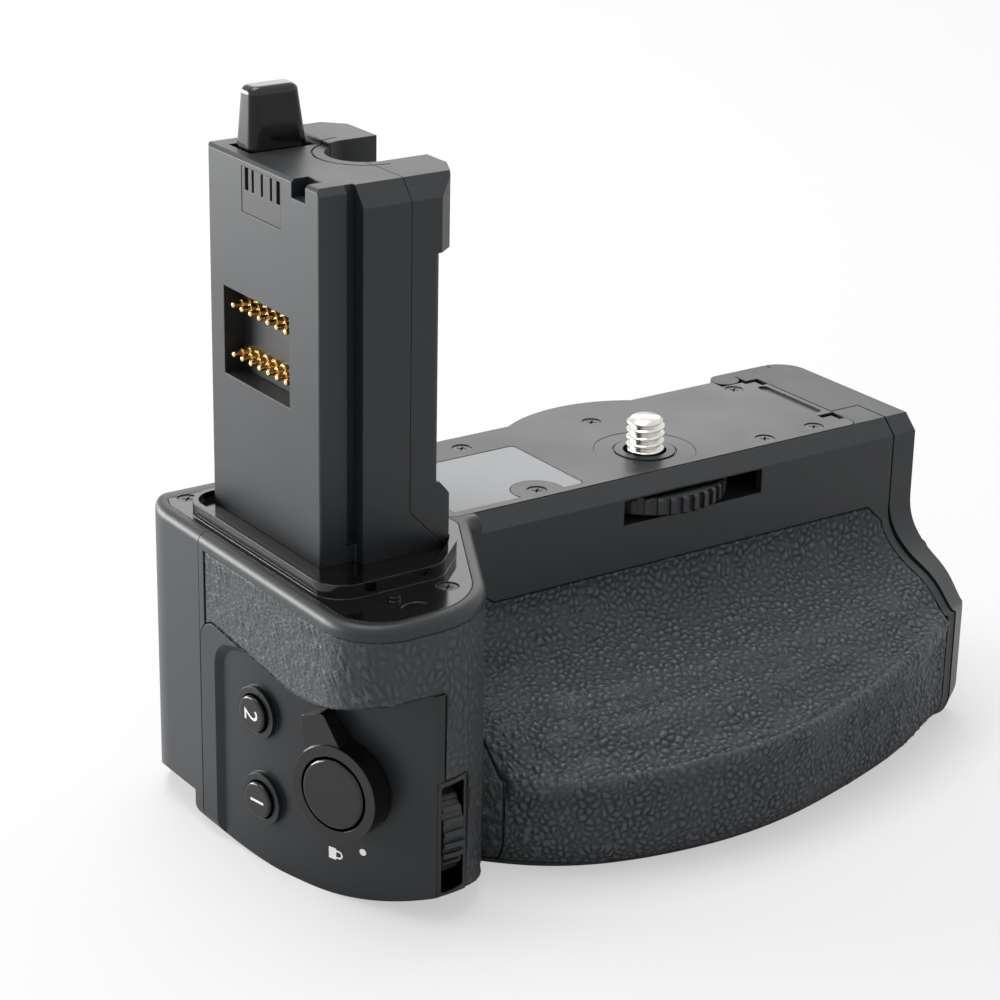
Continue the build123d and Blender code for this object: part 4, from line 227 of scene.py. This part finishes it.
# The soft valley along the grip's swell, over x and y
VALLEY = [
    Vector(place) * MM
    for place in (
        (-42.6, -24.2),
        (-36.8, -27.5),
        (-30.6, -30.1),
        (-22.2, -31.0),
        (-3.5, -31.2),
        (20.5, -30.8),
    )
]
VALLEY_DEPTH = 1.15 * MM
VALLEY_WIDTH = 2.2 * MM
VALLEY_SWELL = 0.55 * MM
VALLEY_REACH = 8.0 * MM
VALLEY_ENDS = (-47 * MM, -32 * MM, 2 * MM, 30 * MM)

# Moulded crescent beside the boss on the insert's cover
COVER_TOP = 0.0
CRESCENT_CENTRE = Vector((-67.1, -35.4)) * MM
CRESCENT_RADIUS = 2.4 * MM
CRESCENT_ARC = (radians(28), radians(140))
CRESCENT_THICKNESS = 0.13 * MM
CRESCENT_STEPS = 12
CRESCENT_ROUNDNESS = 3

# Attachment screw
THREAD_PITCH = 1.27 * MM
THREAD_DEPTH = 0.62 * MM
THREAD_LOW = 0.2 * MM
THREAD_NECK = 2.9 * MM
SCREW_RADIUS = 3.175 * MM
SCREW_DOME = 1.0 * MM
SCREW_DOME_POWER = 1.6
SCREW_AROUND = 72
SCREW_STEP = 0.06 * MM
THREAD_MIDDLE = 0.5
THREAD_FLANK = (2.4, -0.1)


def make_camera():
    data = bpy.data.cameras.new("photo_camera")
    data.sensor_width = CAMERA_SENSOR
    data.lens = CAMERA_LENS
    data.clip_start, data.clip_end = CAMERA_CLIP
    camera = bpy.data.objects.new("photo_camera", data)
    turn = Matrix.Rotation(radians(-CAMERA_AZIMUTH), 4, "Z")
    tilt = Matrix.Rotation(radians(90 - CAMERA_ELEVATION), 4, "X")
    roll = Matrix.Rotation(radians(CAMERA_ROLL), 4, "Z")
    camera.matrix_world = Matrix.Translation(CAMERA_PLACE) @ turn @ tilt @ roll
    scene.collection.objects.link(camera)
    scene.camera = camera


class Shader:
    """A material's node tree, with short calls for the nodes used here."""

    def __init__(self, name):
        self.material = bpy.data.materials.new(name)
        self.material.use_nodes = True
        self.tree = self.material.node_tree
        self.tree.nodes.clear()
        self.output = self.add("ShaderNodeOutputMaterial")
        self.surface = self.add("ShaderNodeBsdfPrincipled")
        self.join(self.surface.outputs[0], self.output.inputs["Surface"])
        self.place = self.add("ShaderNodeTexCoord").outputs["Object"]

    def add(self, kind, **settings):
        node = self.tree.nodes.new(kind)
        for key, value in settings.items():
            setattr(node, key, value)
        return node

    def join(self, source, target):
        if isinstance(source, bpy.types.NodeSocket):
            self.tree.links.new(source, target)
        else:
            target.default_value = source

    def stretched(self, scale):
        node = self.add("ShaderNodeMapping")
        self.join(self.place, node.inputs["Vector"])
        node.inputs["Scale"].default_value = scale
        return node.outputs[0]

    def noise(self, size, detail=2.0, roughness=0.5, source=None):
        node = self.add("ShaderNodeTexNoise")
        self.join(source or self.place, node.inputs["Vector"])
        node.inputs["Scale"].default_value = 1 / size
        node.inputs["Detail"].default_value = detail
        node.inputs["Roughness"].default_value = roughness
        return node.outputs["Fac"]

    def cells(self, size, feature="F1", randomness=1.0, source=None):
        node = self.add("ShaderNodeTexVoronoi", feature=feature)
        self.join(source or self.place, node.inputs["Vector"])
        node.inputs["Scale"].default_value = 1 / size
        node.inputs["Randomness"].default_value = randomness
        if feature == "SMOOTH_F1":
            node.inputs["Smoothness"].default_value = CELL_SMOOTHNESS
        return node.outputs["Distance"]

    def ramp(self, source, low, high, out_low=0.0, out_high=1.0):
        node = self.add("ShaderNodeMapRange")
        self.join(source, node.inputs["Value"])
        node.inputs["From Min"].default_value = low
        node.inputs["From Max"].default_value = high
        node.inputs["To Min"].default_value = out_low
        node.inputs["To Max"].default_value = out_high
        return node.outputs["Result"]

    def math(self, kind, a, b):
        node = self.add("ShaderNodeMath", operation=kind)
        self.join(a, node.inputs[0])
        self.join(b, node.inputs[1])
        return node.outputs[0]

    def warp(self, amount, size):
        """The place, pushed about by a noise of that size."""
        texture = self.add("ShaderNodeTexNoise")
        self.join(self.place, texture.inputs["Vector"])
        texture.inputs["Scale"].default_value = 1 / size
        texture.inputs["Detail"].default_value = 1.0
        push = self.add("ShaderNodeVectorMath", operation="MULTIPLY_ADD")
        self.join(texture.outputs["Color"], push.inputs[0])
        push.inputs[1].default_value = (amount, amount, amount)
        self.join(self.place, push.inputs[2])
        return push.outputs[0]

    def blend(self, factor, a, b):
        node = self.add("ShaderNodeMix", data_type="RGBA")
        self.join(factor, node.inputs["Factor"])
        node.inputs[MIX_A].default_value = (*a, 1)
        node.inputs[MIX_B].default_value = (*b, 1)
        return node.outputs[MIX_RESULT]

    def rounded(self, radius):
        node = self.add("ShaderNodeBevel")
        node.samples = BEVEL_SAMPLES
        node.inputs["Radius"].default_value = radius
        return node.outputs[0]

    def edge(self, radius):
        """1 on an edge of the mesh, 0 away from it."""
        geometry = self.add("ShaderNodeNewGeometry")
        compare = self.add("ShaderNodeVectorMath", operation="DOT_PRODUCT")
        self.join(self.rounded(radius), compare.inputs[0])
        self.join(geometry.outputs["Normal"], compare.inputs[1])
        return self.ramp(compare.outputs["Value"], 1.0, 1.0 - EDGE_REACH)

    def bump(self, height, depth, normal=None):
        node = self.add("ShaderNodeBump")
        node.inputs["Strength"].default_value = 1.0
        node.inputs["Distance"].default_value = depth
        self.join(height, node.inputs["Height"])
        if normal is not None:
            self.join(normal, node.inputs["Normal"])
        return node.outputs[0]

    def finish(self, colour, roughness, normal=None, **values):
        self.join(colour, self.surface.inputs["Base Color"])
        self.join(roughness, self.surface.inputs["Roughness"])
        if normal is not None:
            self.join(normal, self.surface.inputs["Normal"])
        for key, value in values.items():
            socket = key.replace("_", " ").title().replace("Ior", "IOR")
            self.surface.inputs[socket].default_value = value
        return self.material


def grey(level, warmth=0.0):
    return (level * (1 + warmth), level, level * (1 - warmth))


def moulded_plastic(
    name,
    level,
    roughness,
    grain=PLASTIC_GRAIN,
    depth=PLASTIC_DEPTH,
    tint=PLASTIC_TINT,
    specular=PLASTIC_SPECULAR,
):
    """Spark-eroded black plastic: a fine even grain, worn a little smoother on its edges."""
    shader = Shader(name)
    cloud = shader.noise(PLASTIC_CLOUD, detail=3)
    fine = shader.noise(grain, detail=2, roughness=0.6)
    edge_band = shader.edge(PLASTIC_EDGE)
    colour = shader.blend(
        shader.math("MULTIPLY", cloud, fine),
        grey(level, tint),
        grey(level * PLASTIC_LIGHTER, PLASTIC_LIGHTER_TINT * tint),
    )
    low, high = (roughness + spread for spread in PLASTIC_SPREAD)
    gloss = shader.math(
        "ADD",
        shader.ramp(cloud, *CLOUD, low, high),
        shader.ramp(edge_band, 0, 1, 0, PLASTIC_WORN_GLOSS),
    )
    normal = shader.bump(fine, depth, shader.rounded(PLASTIC_EDGE))
    return shader.finish(colour, gloss, normal, specular_ior_level=specular)


def polished_plastic(name, level, roughness):
    """Glossy plastic with faint waviness and a few hairline rubs."""
    shader = Shader(name)
    wave = shader.noise(POLISH_WAVE, detail=2)
    dust = shader.noise(POLISH_DUST, detail=4, roughness=0.7)
    colour = shader.blend(dust, grey(level), grey(level * POLISH_LIGHTER))
    low, high = (roughness + spread for spread in POLISH_SPREAD)
    gloss = shader.math(
        "ADD",
        shader.ramp(wave, *CLOUD, low, high),
        shader.ramp(dust, *POLISH_DUST_RANGE, 0, POLISH_DUST_GLOSS),
    )
    normal = shader.bump(wave, POLISH_WAVE_DEPTH, shader.rounded(POLISH_EDGE))
    return shader.finish(colour, gloss, normal)


def coated_metal(name, level, roughness):
    """Thin metal under a satin black coat, with a painted highlight that lightens its edges."""
    shader = Shader(name)
    cloud = shader.noise(COAT_CLOUD, detail=3)
    grain = shader.noise(COAT_GRAIN, detail=2, roughness=0.5)
    edge_band = shader.edge(COAT_EDGE)
    base_tint, edge_highlight_tint = COAT_TINTS
    # Painted highlight: the coat's colour is painted lighter along the edges that the bevel finds
    colour = shader.blend(edge_band, grey(level, base_tint), grey(level * COAT_EDGE_HIGHLIGHT_LIGHTER, edge_highlight_tint))
    low, high = (roughness + spread for spread in COAT_SPREAD)
    gloss = shader.ramp(cloud, *CLOUD, low, high)
    normal = shader.bump(grain, COAT_DEPTH, shader.rounded(COAT_EDGE))
    return shader.finish(colour, gloss, normal)


def leather(name):
    """Rubber leather, whose pebbles are in the mesh: rougher creases darkened with painted shade,
    and crowns rubbed smoother and lightened with a painted highlight.
    """
    shader = Shader(name)
    geometry = shader.add("ShaderNodeNewGeometry")
    crown_painted_light_and_gloss = shader.ramp(geometry.outputs["Pointiness"], *LEATHER_CROWN)
    fine = shader.cells(LEATHER_FINE, "SMOOTH_F1", source=shader.warp(*LEATHER_WARP))
    cloud = shader.noise(LEATHER_CLOUD, detail=2)
    # Painted shade darkens the creases and a painted highlight lightens the crowns, following the
    # mesh's pointiness
    colour = shader.blend(crown_painted_light_and_gloss, grey(*LEATHER_CREASE_PAINTED_SHADE), grey(*LEATHER_CREST_PAINTED_HIGHLIGHT))
    gloss = shader.math(
        "ADD",
        shader.ramp(crown_painted_light_and_gloss, 0, 1, *LEATHER_GLOSS),
        shader.ramp(cloud, *CLOUD, *LEATHER_SPREAD),
    )
    normal = shader.bump(shader.ramp(fine, *LEATHER_FINE_RANGE, 1, 0), LEATHER_FINE_DEPTH)
    return shader.finish(colour, gloss, normal, specular_ior_level=LEATHER_SPECULAR)


def bare_metal(name, colour, roughness):
    """Plated or turned metal with fine tool marks."""
    shader = Shader(name)
    streaks = shader.stretched(METAL_STREAK)
    marks = shader.noise(METAL_MARKS, detail=4, roughness=0.6, source=streaks)
    stain = shader.noise(METAL_STAIN, detail=3)
    darker = tuple(c * METAL_DARKER for c in colour)
    tint = shader.blend(shader.ramp(stain, *METAL_STAIN_RANGE), colour, darker)
    gloss = shader.ramp(marks, *CLOUD, roughness, roughness + METAL_MARKS_GLOSS)
    normal = shader.bump(marks, METAL_MARKS_DEPTH, shader.rounded(METAL_EDGE))
    return shader.finish(tint, gloss, normal, metallic=1.0)


def circuit_board(name):
    """Green solder mask with lighter copper lines under it."""
    shader = Shader(name)
    lines = shader.cells(BOARD_LINES, randomness=0.0)
    line = shader.ramp(lines, *BOARD_LINE_RANGE)
    colour = shader.blend(line, *BOARD_COLOURS)
    normal = shader.bump(line, BOARD_LINE_DEPTH, shader.rounded(BOARD_EDGE))
    return shader.finish(colour, shader.ramp(lines, *BOARD_GLOSS_RANGE, *BOARD_GLOSS), normal)


def ink(name):
    """White pad print, slightly uneven."""
    shader = Shader(name)
    cloud = shader.noise(INK_CLOUD, detail=3)
    colour = shader.blend(cloud, *INK_COLOURS)
    gloss = shader.ramp(cloud, 0, 1, *INK_GLOSS)
    return shader.finish(colour, gloss, shader.bump(cloud, INK_DEPTH))


finishes = {
    "satin_black": moulded_plastic("satin_black", 0.011, 0.42),
    "gloss_black": polished_plastic("gloss_black", 0.003, 0.09),
    "plate_black": coated_metal("plate_black", 0.014, 0.34),
    "leather_rubber": leather("leather_rubber"),
    "label_grey": moulded_plastic("label_grey", 0.24, 0.42, 0.1 * MM, 2 * MICRON, tint=-0.03),
    "bright_nickel": bare_metal("bright_nickel", (0.80, 0.78, 0.74), 0.16),
    "dark_steel": bare_metal("dark_steel", (0.09, 0.09, 0.092), 0.30),
    "gold_plate": bare_metal("gold_plate", (0.95, 0.66, 0.27), 0.18),
    "spring_steel": bare_metal("spring_steel", (0.55, 0.55, 0.56), 0.22),
    "board_green": circuit_board("board_green"),
    "tray_grey": moulded_plastic("tray_grey", 0.020, 0.46),
    "battery_grey": moulded_plastic("battery_grey", 0.035, 0.38, 0.12 * MM, 3 * MICRON),
    "seal_rubber": moulded_plastic("seal_rubber", 0.012, 0.62),
}
white_ink = ink("white_ink")
panel_black = moulded_plastic("panel_black", 0.010, 0.38, specular=0.38)


def paint(piece, material):
    piece.data.materials.clear()
    piece.data.materials.append(material)


def paint_nodes():
    for row in record["subparts"]:
        paint(nodes[row["node"]], finishes[row["material_slot"]])
    paint(nodes["control_panel"], panel_black)


def add_mesh(name, points, faces, material):
    mesh = bpy.data.meshes.new(name)
    mesh.from_pydata([tuple(p) for p in points], [], faces)
    mesh.validate()
    mesh.update()
    piece = bpy.data.objects.new(name, mesh)
    scene.collection.objects.link(piece)
    paint(piece, material)
    return piece


def panel_point(y, z, proud):
    """The point of the panel's face at that y and z, lifted off it by proud."""
    turn = asin((PANEL_CENTRE.y - y) / PANEL_RADIUS)
    radius = PANEL_RADIUS + proud
    return Vector((PANEL_CENTRE.x - radius * cos(turn), PANEL_CENTRE.y - radius * sin(turn), z))


def outline_print(name, outlines, body):
    """Thin ink on the panel from outlines of (y, z) points, each a convex face."""
    points, faces = [], []
    for outline in outlines:
        faces.append(list(range(len(points), len(points) + len(outline))))
        points += [panel_point(y, z, PRINT_HEIGHT) for y, z in outline]
    piece = add_mesh(name, points, faces, white_ink)
    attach(piece, body)


def ring_outlines(centre, inner, outer, start, end, steps):
    """Part of a flat ring, as one outline per step."""
    quads = []
    for index in range(steps):
        a = start + (end - start) * index / steps
        b = start + (end - start) * (index + 1) / steps
        quads.append([
            (centre[0] + r * cos(t), centre[1] + r * sin(t))
            for r, t in ((inner, a), (outer, a), (outer, b), (inner, b))
        ])
    return quads


def make_lock_mark():
    """A padlock pictogram lying on its side, as the grip is held upright, and the dot beside it."""
    y, z = LOCK_PLACE
    half = LOCK_WIDTH / 2
    inner, outer = (share * half for share in LOCK_LINE)
    near, far = y - LOCK_BODY_END * half, y - LOCK_LEG_END * half
    body = [(y + half, z - half), (near, z - half), (near, z + half), (y + half, z + half)]
    shackle = ring_outlines((far, z), inner, outer, pi / 2, 3 * pi / 2, LOCK_STEPS)
    legs = []
    for side in (1, -1):
        low, high = z + side * inner, z + side * outer
        legs.append([(near, low), (near, high), (far, high), (far, low)])
    outline_print("lock_mark", [body, *shackle, *legs], "grip")
    turns = [FULL_TURN * step / DOT_STEPS for step in range(DOT_STEPS)]
    y, z = DOT_PLACE
    dot = [(y + DOT_RADIUS * cos(turn), z + DOT_RADIUS * sin(turn)) for turn in turns]
    outline_print("lock_dot", [dot], "grip")


def evaluated_mesh(piece):
    """The mesh that the piece's curve or modifiers make."""
    bpy.context.view_layer.update()
    graph = bpy.context.evaluated_depsgraph_get()
    return bpy.data.meshes.new_from_object(piece.evaluated_get(graph))


def make_numeral(text, node, body):
    """A numeral on a button's cap, its top towards the front, as on a grip held upright."""
    low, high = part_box(node)
    middle = (low + high) / 2
    turn = asin((PANEL_CENTRE.y - middle.y) / PANEL_RADIUS)
    outward = Vector((-cos(turn), -sin(turn), 0))
    face = max((Vector(v.co).xy - PANEL_CENTRE).length for v in nodes[node].data.vertices)
    centre = Vector((*(PANEL_CENTRE + outward.xy * (face + PRINT_HEIGHT)), middle.z))
    up = Vector((sin(turn), -cos(turn), 0))
    across = up.cross(outward)
    curve = bpy.data.curves.new("numeral_" + text, "FONT")
    curve.body = text
    curve.size = NUMERAL_SIZE
    curve.align_x = "CENTER"
    curve.align_y = "CENTER"
    letter = bpy.data.objects.new("numeral_source_" + text, curve)
    scene.collection.objects.link(letter)
    mesh = evaluated_mesh(letter)
    bpy.data.objects.remove(letter)
    piece = bpy.data.objects.new("numeral_" + text, mesh)
    scene.collection.objects.link(piece)
    basis = Matrix((across, up, outward)).transposed().to_4x4()
    mesh.transform(Matrix.Translation(centre) @ basis)
    paint(piece, white_ink)
    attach(piece, body)


def welded(mesh):
    """A bmesh copy of the mesh, with its doubled points joined."""
    form = bmesh.new()
    form.from_mesh(mesh)
    bmesh.ops.remove_doubles(form, verts=form.verts, dist=MICRON)
    return form


def edge_points(mesh, turn, in_fold):
    """A search tree of points along the mesh's edges that turn that far, on the fold or off it."""
    form = welded(mesh)
    points = []
    for edge in form.edges:
        if len(edge.link_faces) != 2 or edge.calc_face_angle() < turn:
            continue
        steps = max(1, int(edge.calc_length() / BORDER_STEP))
        start, end = (vertex.co for vertex in edge.verts)
        span = zip(FOLD_SPAN[0], (start + end) / 2, FOLD_SPAN[1])
        if all(low < middle < high for low, middle, high in span) == in_fold:
            points += [start.lerp(end, step / steps) for step in range(steps + 1)]
    form.free()
    tree = KDTree(len(points))
    for index, point in enumerate(points):
        tree.insert(point, index)
    tree.balance()
    return tree


def smooth_step(value):
    """0 up to 0 and 1 from 1, with a smooth rise between."""
    value = min(1.0, max(0.0, value))
    return value * value * (3 - 2 * value)


def pebble_height(place, stretch):
    """The leather's relief at a place: domed pebbles, lower along soft creases."""
    place = place - WRINKLE_ALONG * (place.dot(WRINKLE_ALONG) * stretch)
    push = noise.noise_vector(place / PEBBLE_WARP)
    near, second = noise.voronoi(place / PEBBLE_SIZE + push * PEBBLE_PUSH)[0][:2]
    fullness = PEBBLE_FULLNESS + PEBBLE_FULLNESS_SWING * noise.noise(place / CREASE_SIZE)
    return smooth_step((second - near) * PEBBLE_STEEPNESS) * fullness - PEBBLE_LEVEL


def distance_to_run(place, start, end):
    """How far a flat place is from the straight run between two others."""
    run = end - start
    share = (place - start).dot(run) / run.length_squared
    return (place - start - run * min(1, max(0, share))).length


def valley_height(place):
    """The swell's soft valley, with the leather fuller on both its sides."""
    away = min(distance_to_run(place.xy, start, end) for start, end in zip(VALLEY, VALLEY[1:]))
    swell = VALLEY_SWELL * exp(-((away / VALLEY_REACH) ** 2))
    dip = VALLEY_DEPTH * exp(-((away / VALLEY_WIDTH) ** 2))
    near, full, last, far = VALLEY_ENDS
    from_left = smooth_step((place.x - near) / (full - near))
    from_right = smooth_step((far - place.x) / (far - last))
    return (swell - dip) * from_left * from_right


def soften_folds(piece, folds):
    """Rounds the piece's folds off, as thick leather does."""
    group = piece.vertex_groups.new(name="folds")
    for vertex in piece.data.vertices:
        share = 1 - smooth_step(folds.find(vertex.co)[2] / FOLD_REACH)
        if share > 0:
            group.add([vertex.index], share, "REPLACE")
    soften = piece.modifiers.new("soften", "SMOOTH")
    soften.vertex_group = "folds"
    soften.factor = FOLD_EASE
    soften.iterations = FOLD_ROUNDS
    bake(piece)
    piece.vertex_groups.clear()


def bake(piece):
    """The piece's modifiers applied to its mesh."""
    mesh = evaluated_mesh(piece)
    piece.modifiers.clear()
    piece.data = mesh


def make_embossed_skin(node):
    """A leather skin with its pebbles as real relief, and its border pressed down."""
    source = nodes[node]
    border = edge_points(source.data, BORDER_TURN, False)
    form = welded(source.data)
    mesh = bpy.data.meshes.new(node + "_embossed")
    form.to_mesh(mesh)
    form.free()
    piece = bpy.data.objects.new(node + "_embossed", mesh)
    scene.collection.objects.link(piece)
    wall = piece.modifiers.new("wall", "SOLIDIFY")
    wall.thickness = SKIN_WALL
    wall.offset = 2 * SKIN_PROUD / SKIN_WALL - 1
    remesh = piece.modifiers.new("remesh", "REMESH")
    remesh.mode = "VOXEL"
    remesh.voxel_size = SKIN_VOXEL
    bake(piece)
    folds = edge_points(source.data, FOLD_TURN, True) if node == "grip_skin_front" else None
    if folds:
        soften_folds(piece, folds)
    dense = piece.data
    stretch, height = WRINKLE_STRETCH[node], PEBBLE_HEIGHTS[node]
    normals = [normal.vector.copy() for normal in dense.vertex_normals]
    for vertex, normal in zip(dense.vertices, normals):
        away = border.find(vertex.co)[2]
        lift = height * pebble_height(vertex.co, stretch)
        if folds:
            lift += FOLD_SWELL * (1 - smooth_step(folds.find(vertex.co)[2] / FOLD_REACH))
            lift += valley_height(vertex.co) if normal.z > 0 else 0
        sink = BORDER_SINK * (1 - smooth_step(away / BORDER_WIDTH))
        vertex.co += normal * (lift * smooth_step(away / BORDER_FADE) - sink - SKIN_PROUD)
    dense.shade_smooth()
    paint(piece, finishes["leather_rubber"])
    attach(piece, "grip")
    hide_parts(node)


def make_shutter_spring():
    """The shutter's return spring."""
    source = nodes["shutter_spring"]
    piece = bpy.data.objects.new("shutter_spring_coil", source.data.copy())
    scene.collection.objects.link(piece)
    paint(piece, finishes["spring_steel"])
    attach(piece, "grip")
    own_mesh(piece)
    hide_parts("shutter_spring")


def make_crescent():
    """The thin raised arc moulded in the cover beside its boss."""
    curve = bpy.data.curves.new("cover_crescent", "CURVE")
    curve.dimensions = "3D"
    curve.bevel_depth = CRESCENT_THICKNESS
    curve.bevel_resolution = CRESCENT_ROUNDNESS
    curve.use_fill_caps = True
    spline = curve.splines.new("NURBS")
    spline.points.add(CRESCENT_STEPS)
    start, end = CRESCENT_ARC
    for index, point in enumerate(spline.points):
        turn = start + (end - start) * index / CRESCENT_STEPS
        x = CRESCENT_CENTRE.x + CRESCENT_RADIUS * cos(turn)
        y = CRESCENT_CENTRE.y + CRESCENT_RADIUS * sin(turn)
        point.co = (x, y, COVER_TOP, 1)
    spline.order_u = 3
    spline.use_endpoint_u = True
    piece = bpy.data.objects.new("cover_crescent", curve)
    scene.collection.objects.link(piece)
    paint(piece, finishes["gloss_black"])
    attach(piece, "grip")


def make_threaded_screw():
    """The attachment screw with its helical thread."""
    low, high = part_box("attachment_screw")
    around = SCREW_AROUND
    slope, offset = THREAD_FLANK
    rows = int((high.z - low.z) / SCREW_STEP)
    points, faces = [], []
    for row in range(rows + 1):
        z = low.z + (high.z - low.z) * row / rows
        for column in range(around):
            turn = FULL_TURN * column / around
            radius = THREAD_NECK
            if z > THREAD_LOW:
                phase = (z / THREAD_PITCH - column / around) % 1
                valley = min(1, max(0, abs(phase - THREAD_MIDDLE) * slope + offset))
                radius = SCREW_RADIUS - THREAD_DEPTH * valley
            down = high.z - z
            if down < SCREW_DOME:
                drop = SCREW_DOME * (1 - down / SCREW_DOME) ** SCREW_DOME_POWER
                radius = min(radius, SCREW_RADIUS - drop)
            points.append((radius * cos(turn), radius * sin(turn), z))
    for row in range(rows):
        for column in range(around):
            a, b = row * around + column, row * around + (column + 1) % around
            faces.append((a, b, b + around, a + around))
    faces.append(tuple(reversed(range(around))))
    faces.append(tuple(range(rows * around, (rows + 1) * around)))
    piece = add_mesh("threaded_screw", points, faces, finishes["bright_nickel"])
    piece.data.shade_smooth()
    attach(piece, "screw_wheel")
    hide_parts("attachment_screw")


def make_stage():
    """The paper floor, which keeps the object's shadow and glows a little for the camera."""
    shader = Shader("paper")
    cloud = shader.noise(PAPER_CLOUD, detail=2)
    shader.finish(shader.blend(cloud, *PAPER_WHITES), PAPER_ROUGHNESS)
    glow = shader.add("ShaderNodeEmission")
    glow.inputs["Strength"].default_value = SHOWN_WHITE
    path = shader.add("ShaderNodeLightPath")
    mix = shader.add("ShaderNodeMixShader")
    share = shader.math("MULTIPLY", path.outputs["Is Camera Ray"], PAPER_GLOW)
    shader.join(share, mix.inputs[0])
    shader.join(shader.surface.outputs[0], mix.inputs[1])
    shader.join(glow.outputs[0], mix.inputs[2])
    shader.join(mix.outputs[0], shader.output.inputs["Surface"])
    near, far = -FLOOR_REACH, FLOOR_REACH
    corners = ((near, near), (far, near), (far, far), (near, far))
    points = [(x, y, cad_box[0].z) for x, y in corners]
    floor = add_mesh("floor", points, [(0, 1, 2, 3)], shader.material)


def make_world():
    """Soft light from all round, which camera, glossy and transmission rays see as white."""
    world = bpy.data.worlds.new("studio")
    world.use_nodes = True
    tree = world.node_tree
    tree.nodes.clear()
    output = tree.nodes.new("ShaderNodeOutputWorld")
    path = tree.nodes.new("ShaderNodeLightPath")
    light = tree.nodes.new("ShaderNodeBackground")
    light.inputs["Color"].default_value = WHITE
    light.inputs["Strength"].default_value = WORLD_LIGHT
    shown = tree.nodes.new("ShaderNodeBackground")
    shown.inputs["Color"].default_value = WHITE
    shown.inputs["Strength"].default_value = SHOWN_WHITE
    total = path.outputs["Is Camera Ray"]
    for name in ("Is Glossy Ray", "Is Transmission Ray"):
        either = tree.nodes.new("ShaderNodeMath")
        either.operation = "MAXIMUM"
        tree.links.new(total, either.inputs[0])
        tree.links.new(path.outputs[name], either.inputs[1])
        total = either.outputs[0]
    mix = tree.nodes.new("ShaderNodeMixShader")
    tree.links.new(total, mix.inputs[0])
    tree.links.new(light.outputs[0], mix.inputs[1])
    tree.links.new(shown.outputs[0], mix.inputs[2])
    tree.links.new(mix.outputs[0], output.inputs[0])
    scene.world = world


def make_lamps():
    """The softboxes, each facing the object."""
    for name, place, size, watts in LAMPS:
        data = bpy.data.lights.new(name, "AREA")
        data.shape = "RECTANGLE"
        data.size, data.size_y = size
        data.energy = watts
        lamp = bpy.data.objects.new(name, data)
        lamp.location = place
        lamp.rotation_mode = "QUATERNION"
        lamp.rotation_quaternion = (-Vector(place)).to_track_quat("-Z", "Y")
        scene.collection.objects.link(lamp)


make_camera()
paint_nodes()
make_threaded_screw()
for skin in ("grip_skin_end", "grip_skin_front"):
    make_embossed_skin(skin)
make_shutter_spring()
make_crescent()
make_numeral("1", "custom_button_lower", "custom_lower")
make_numeral("2", "custom_button_upper", "custom_upper")
make_lock_mark()
make_stage()
make_world()
make_lamps()

scene.view_settings.view_transform = "Standard"
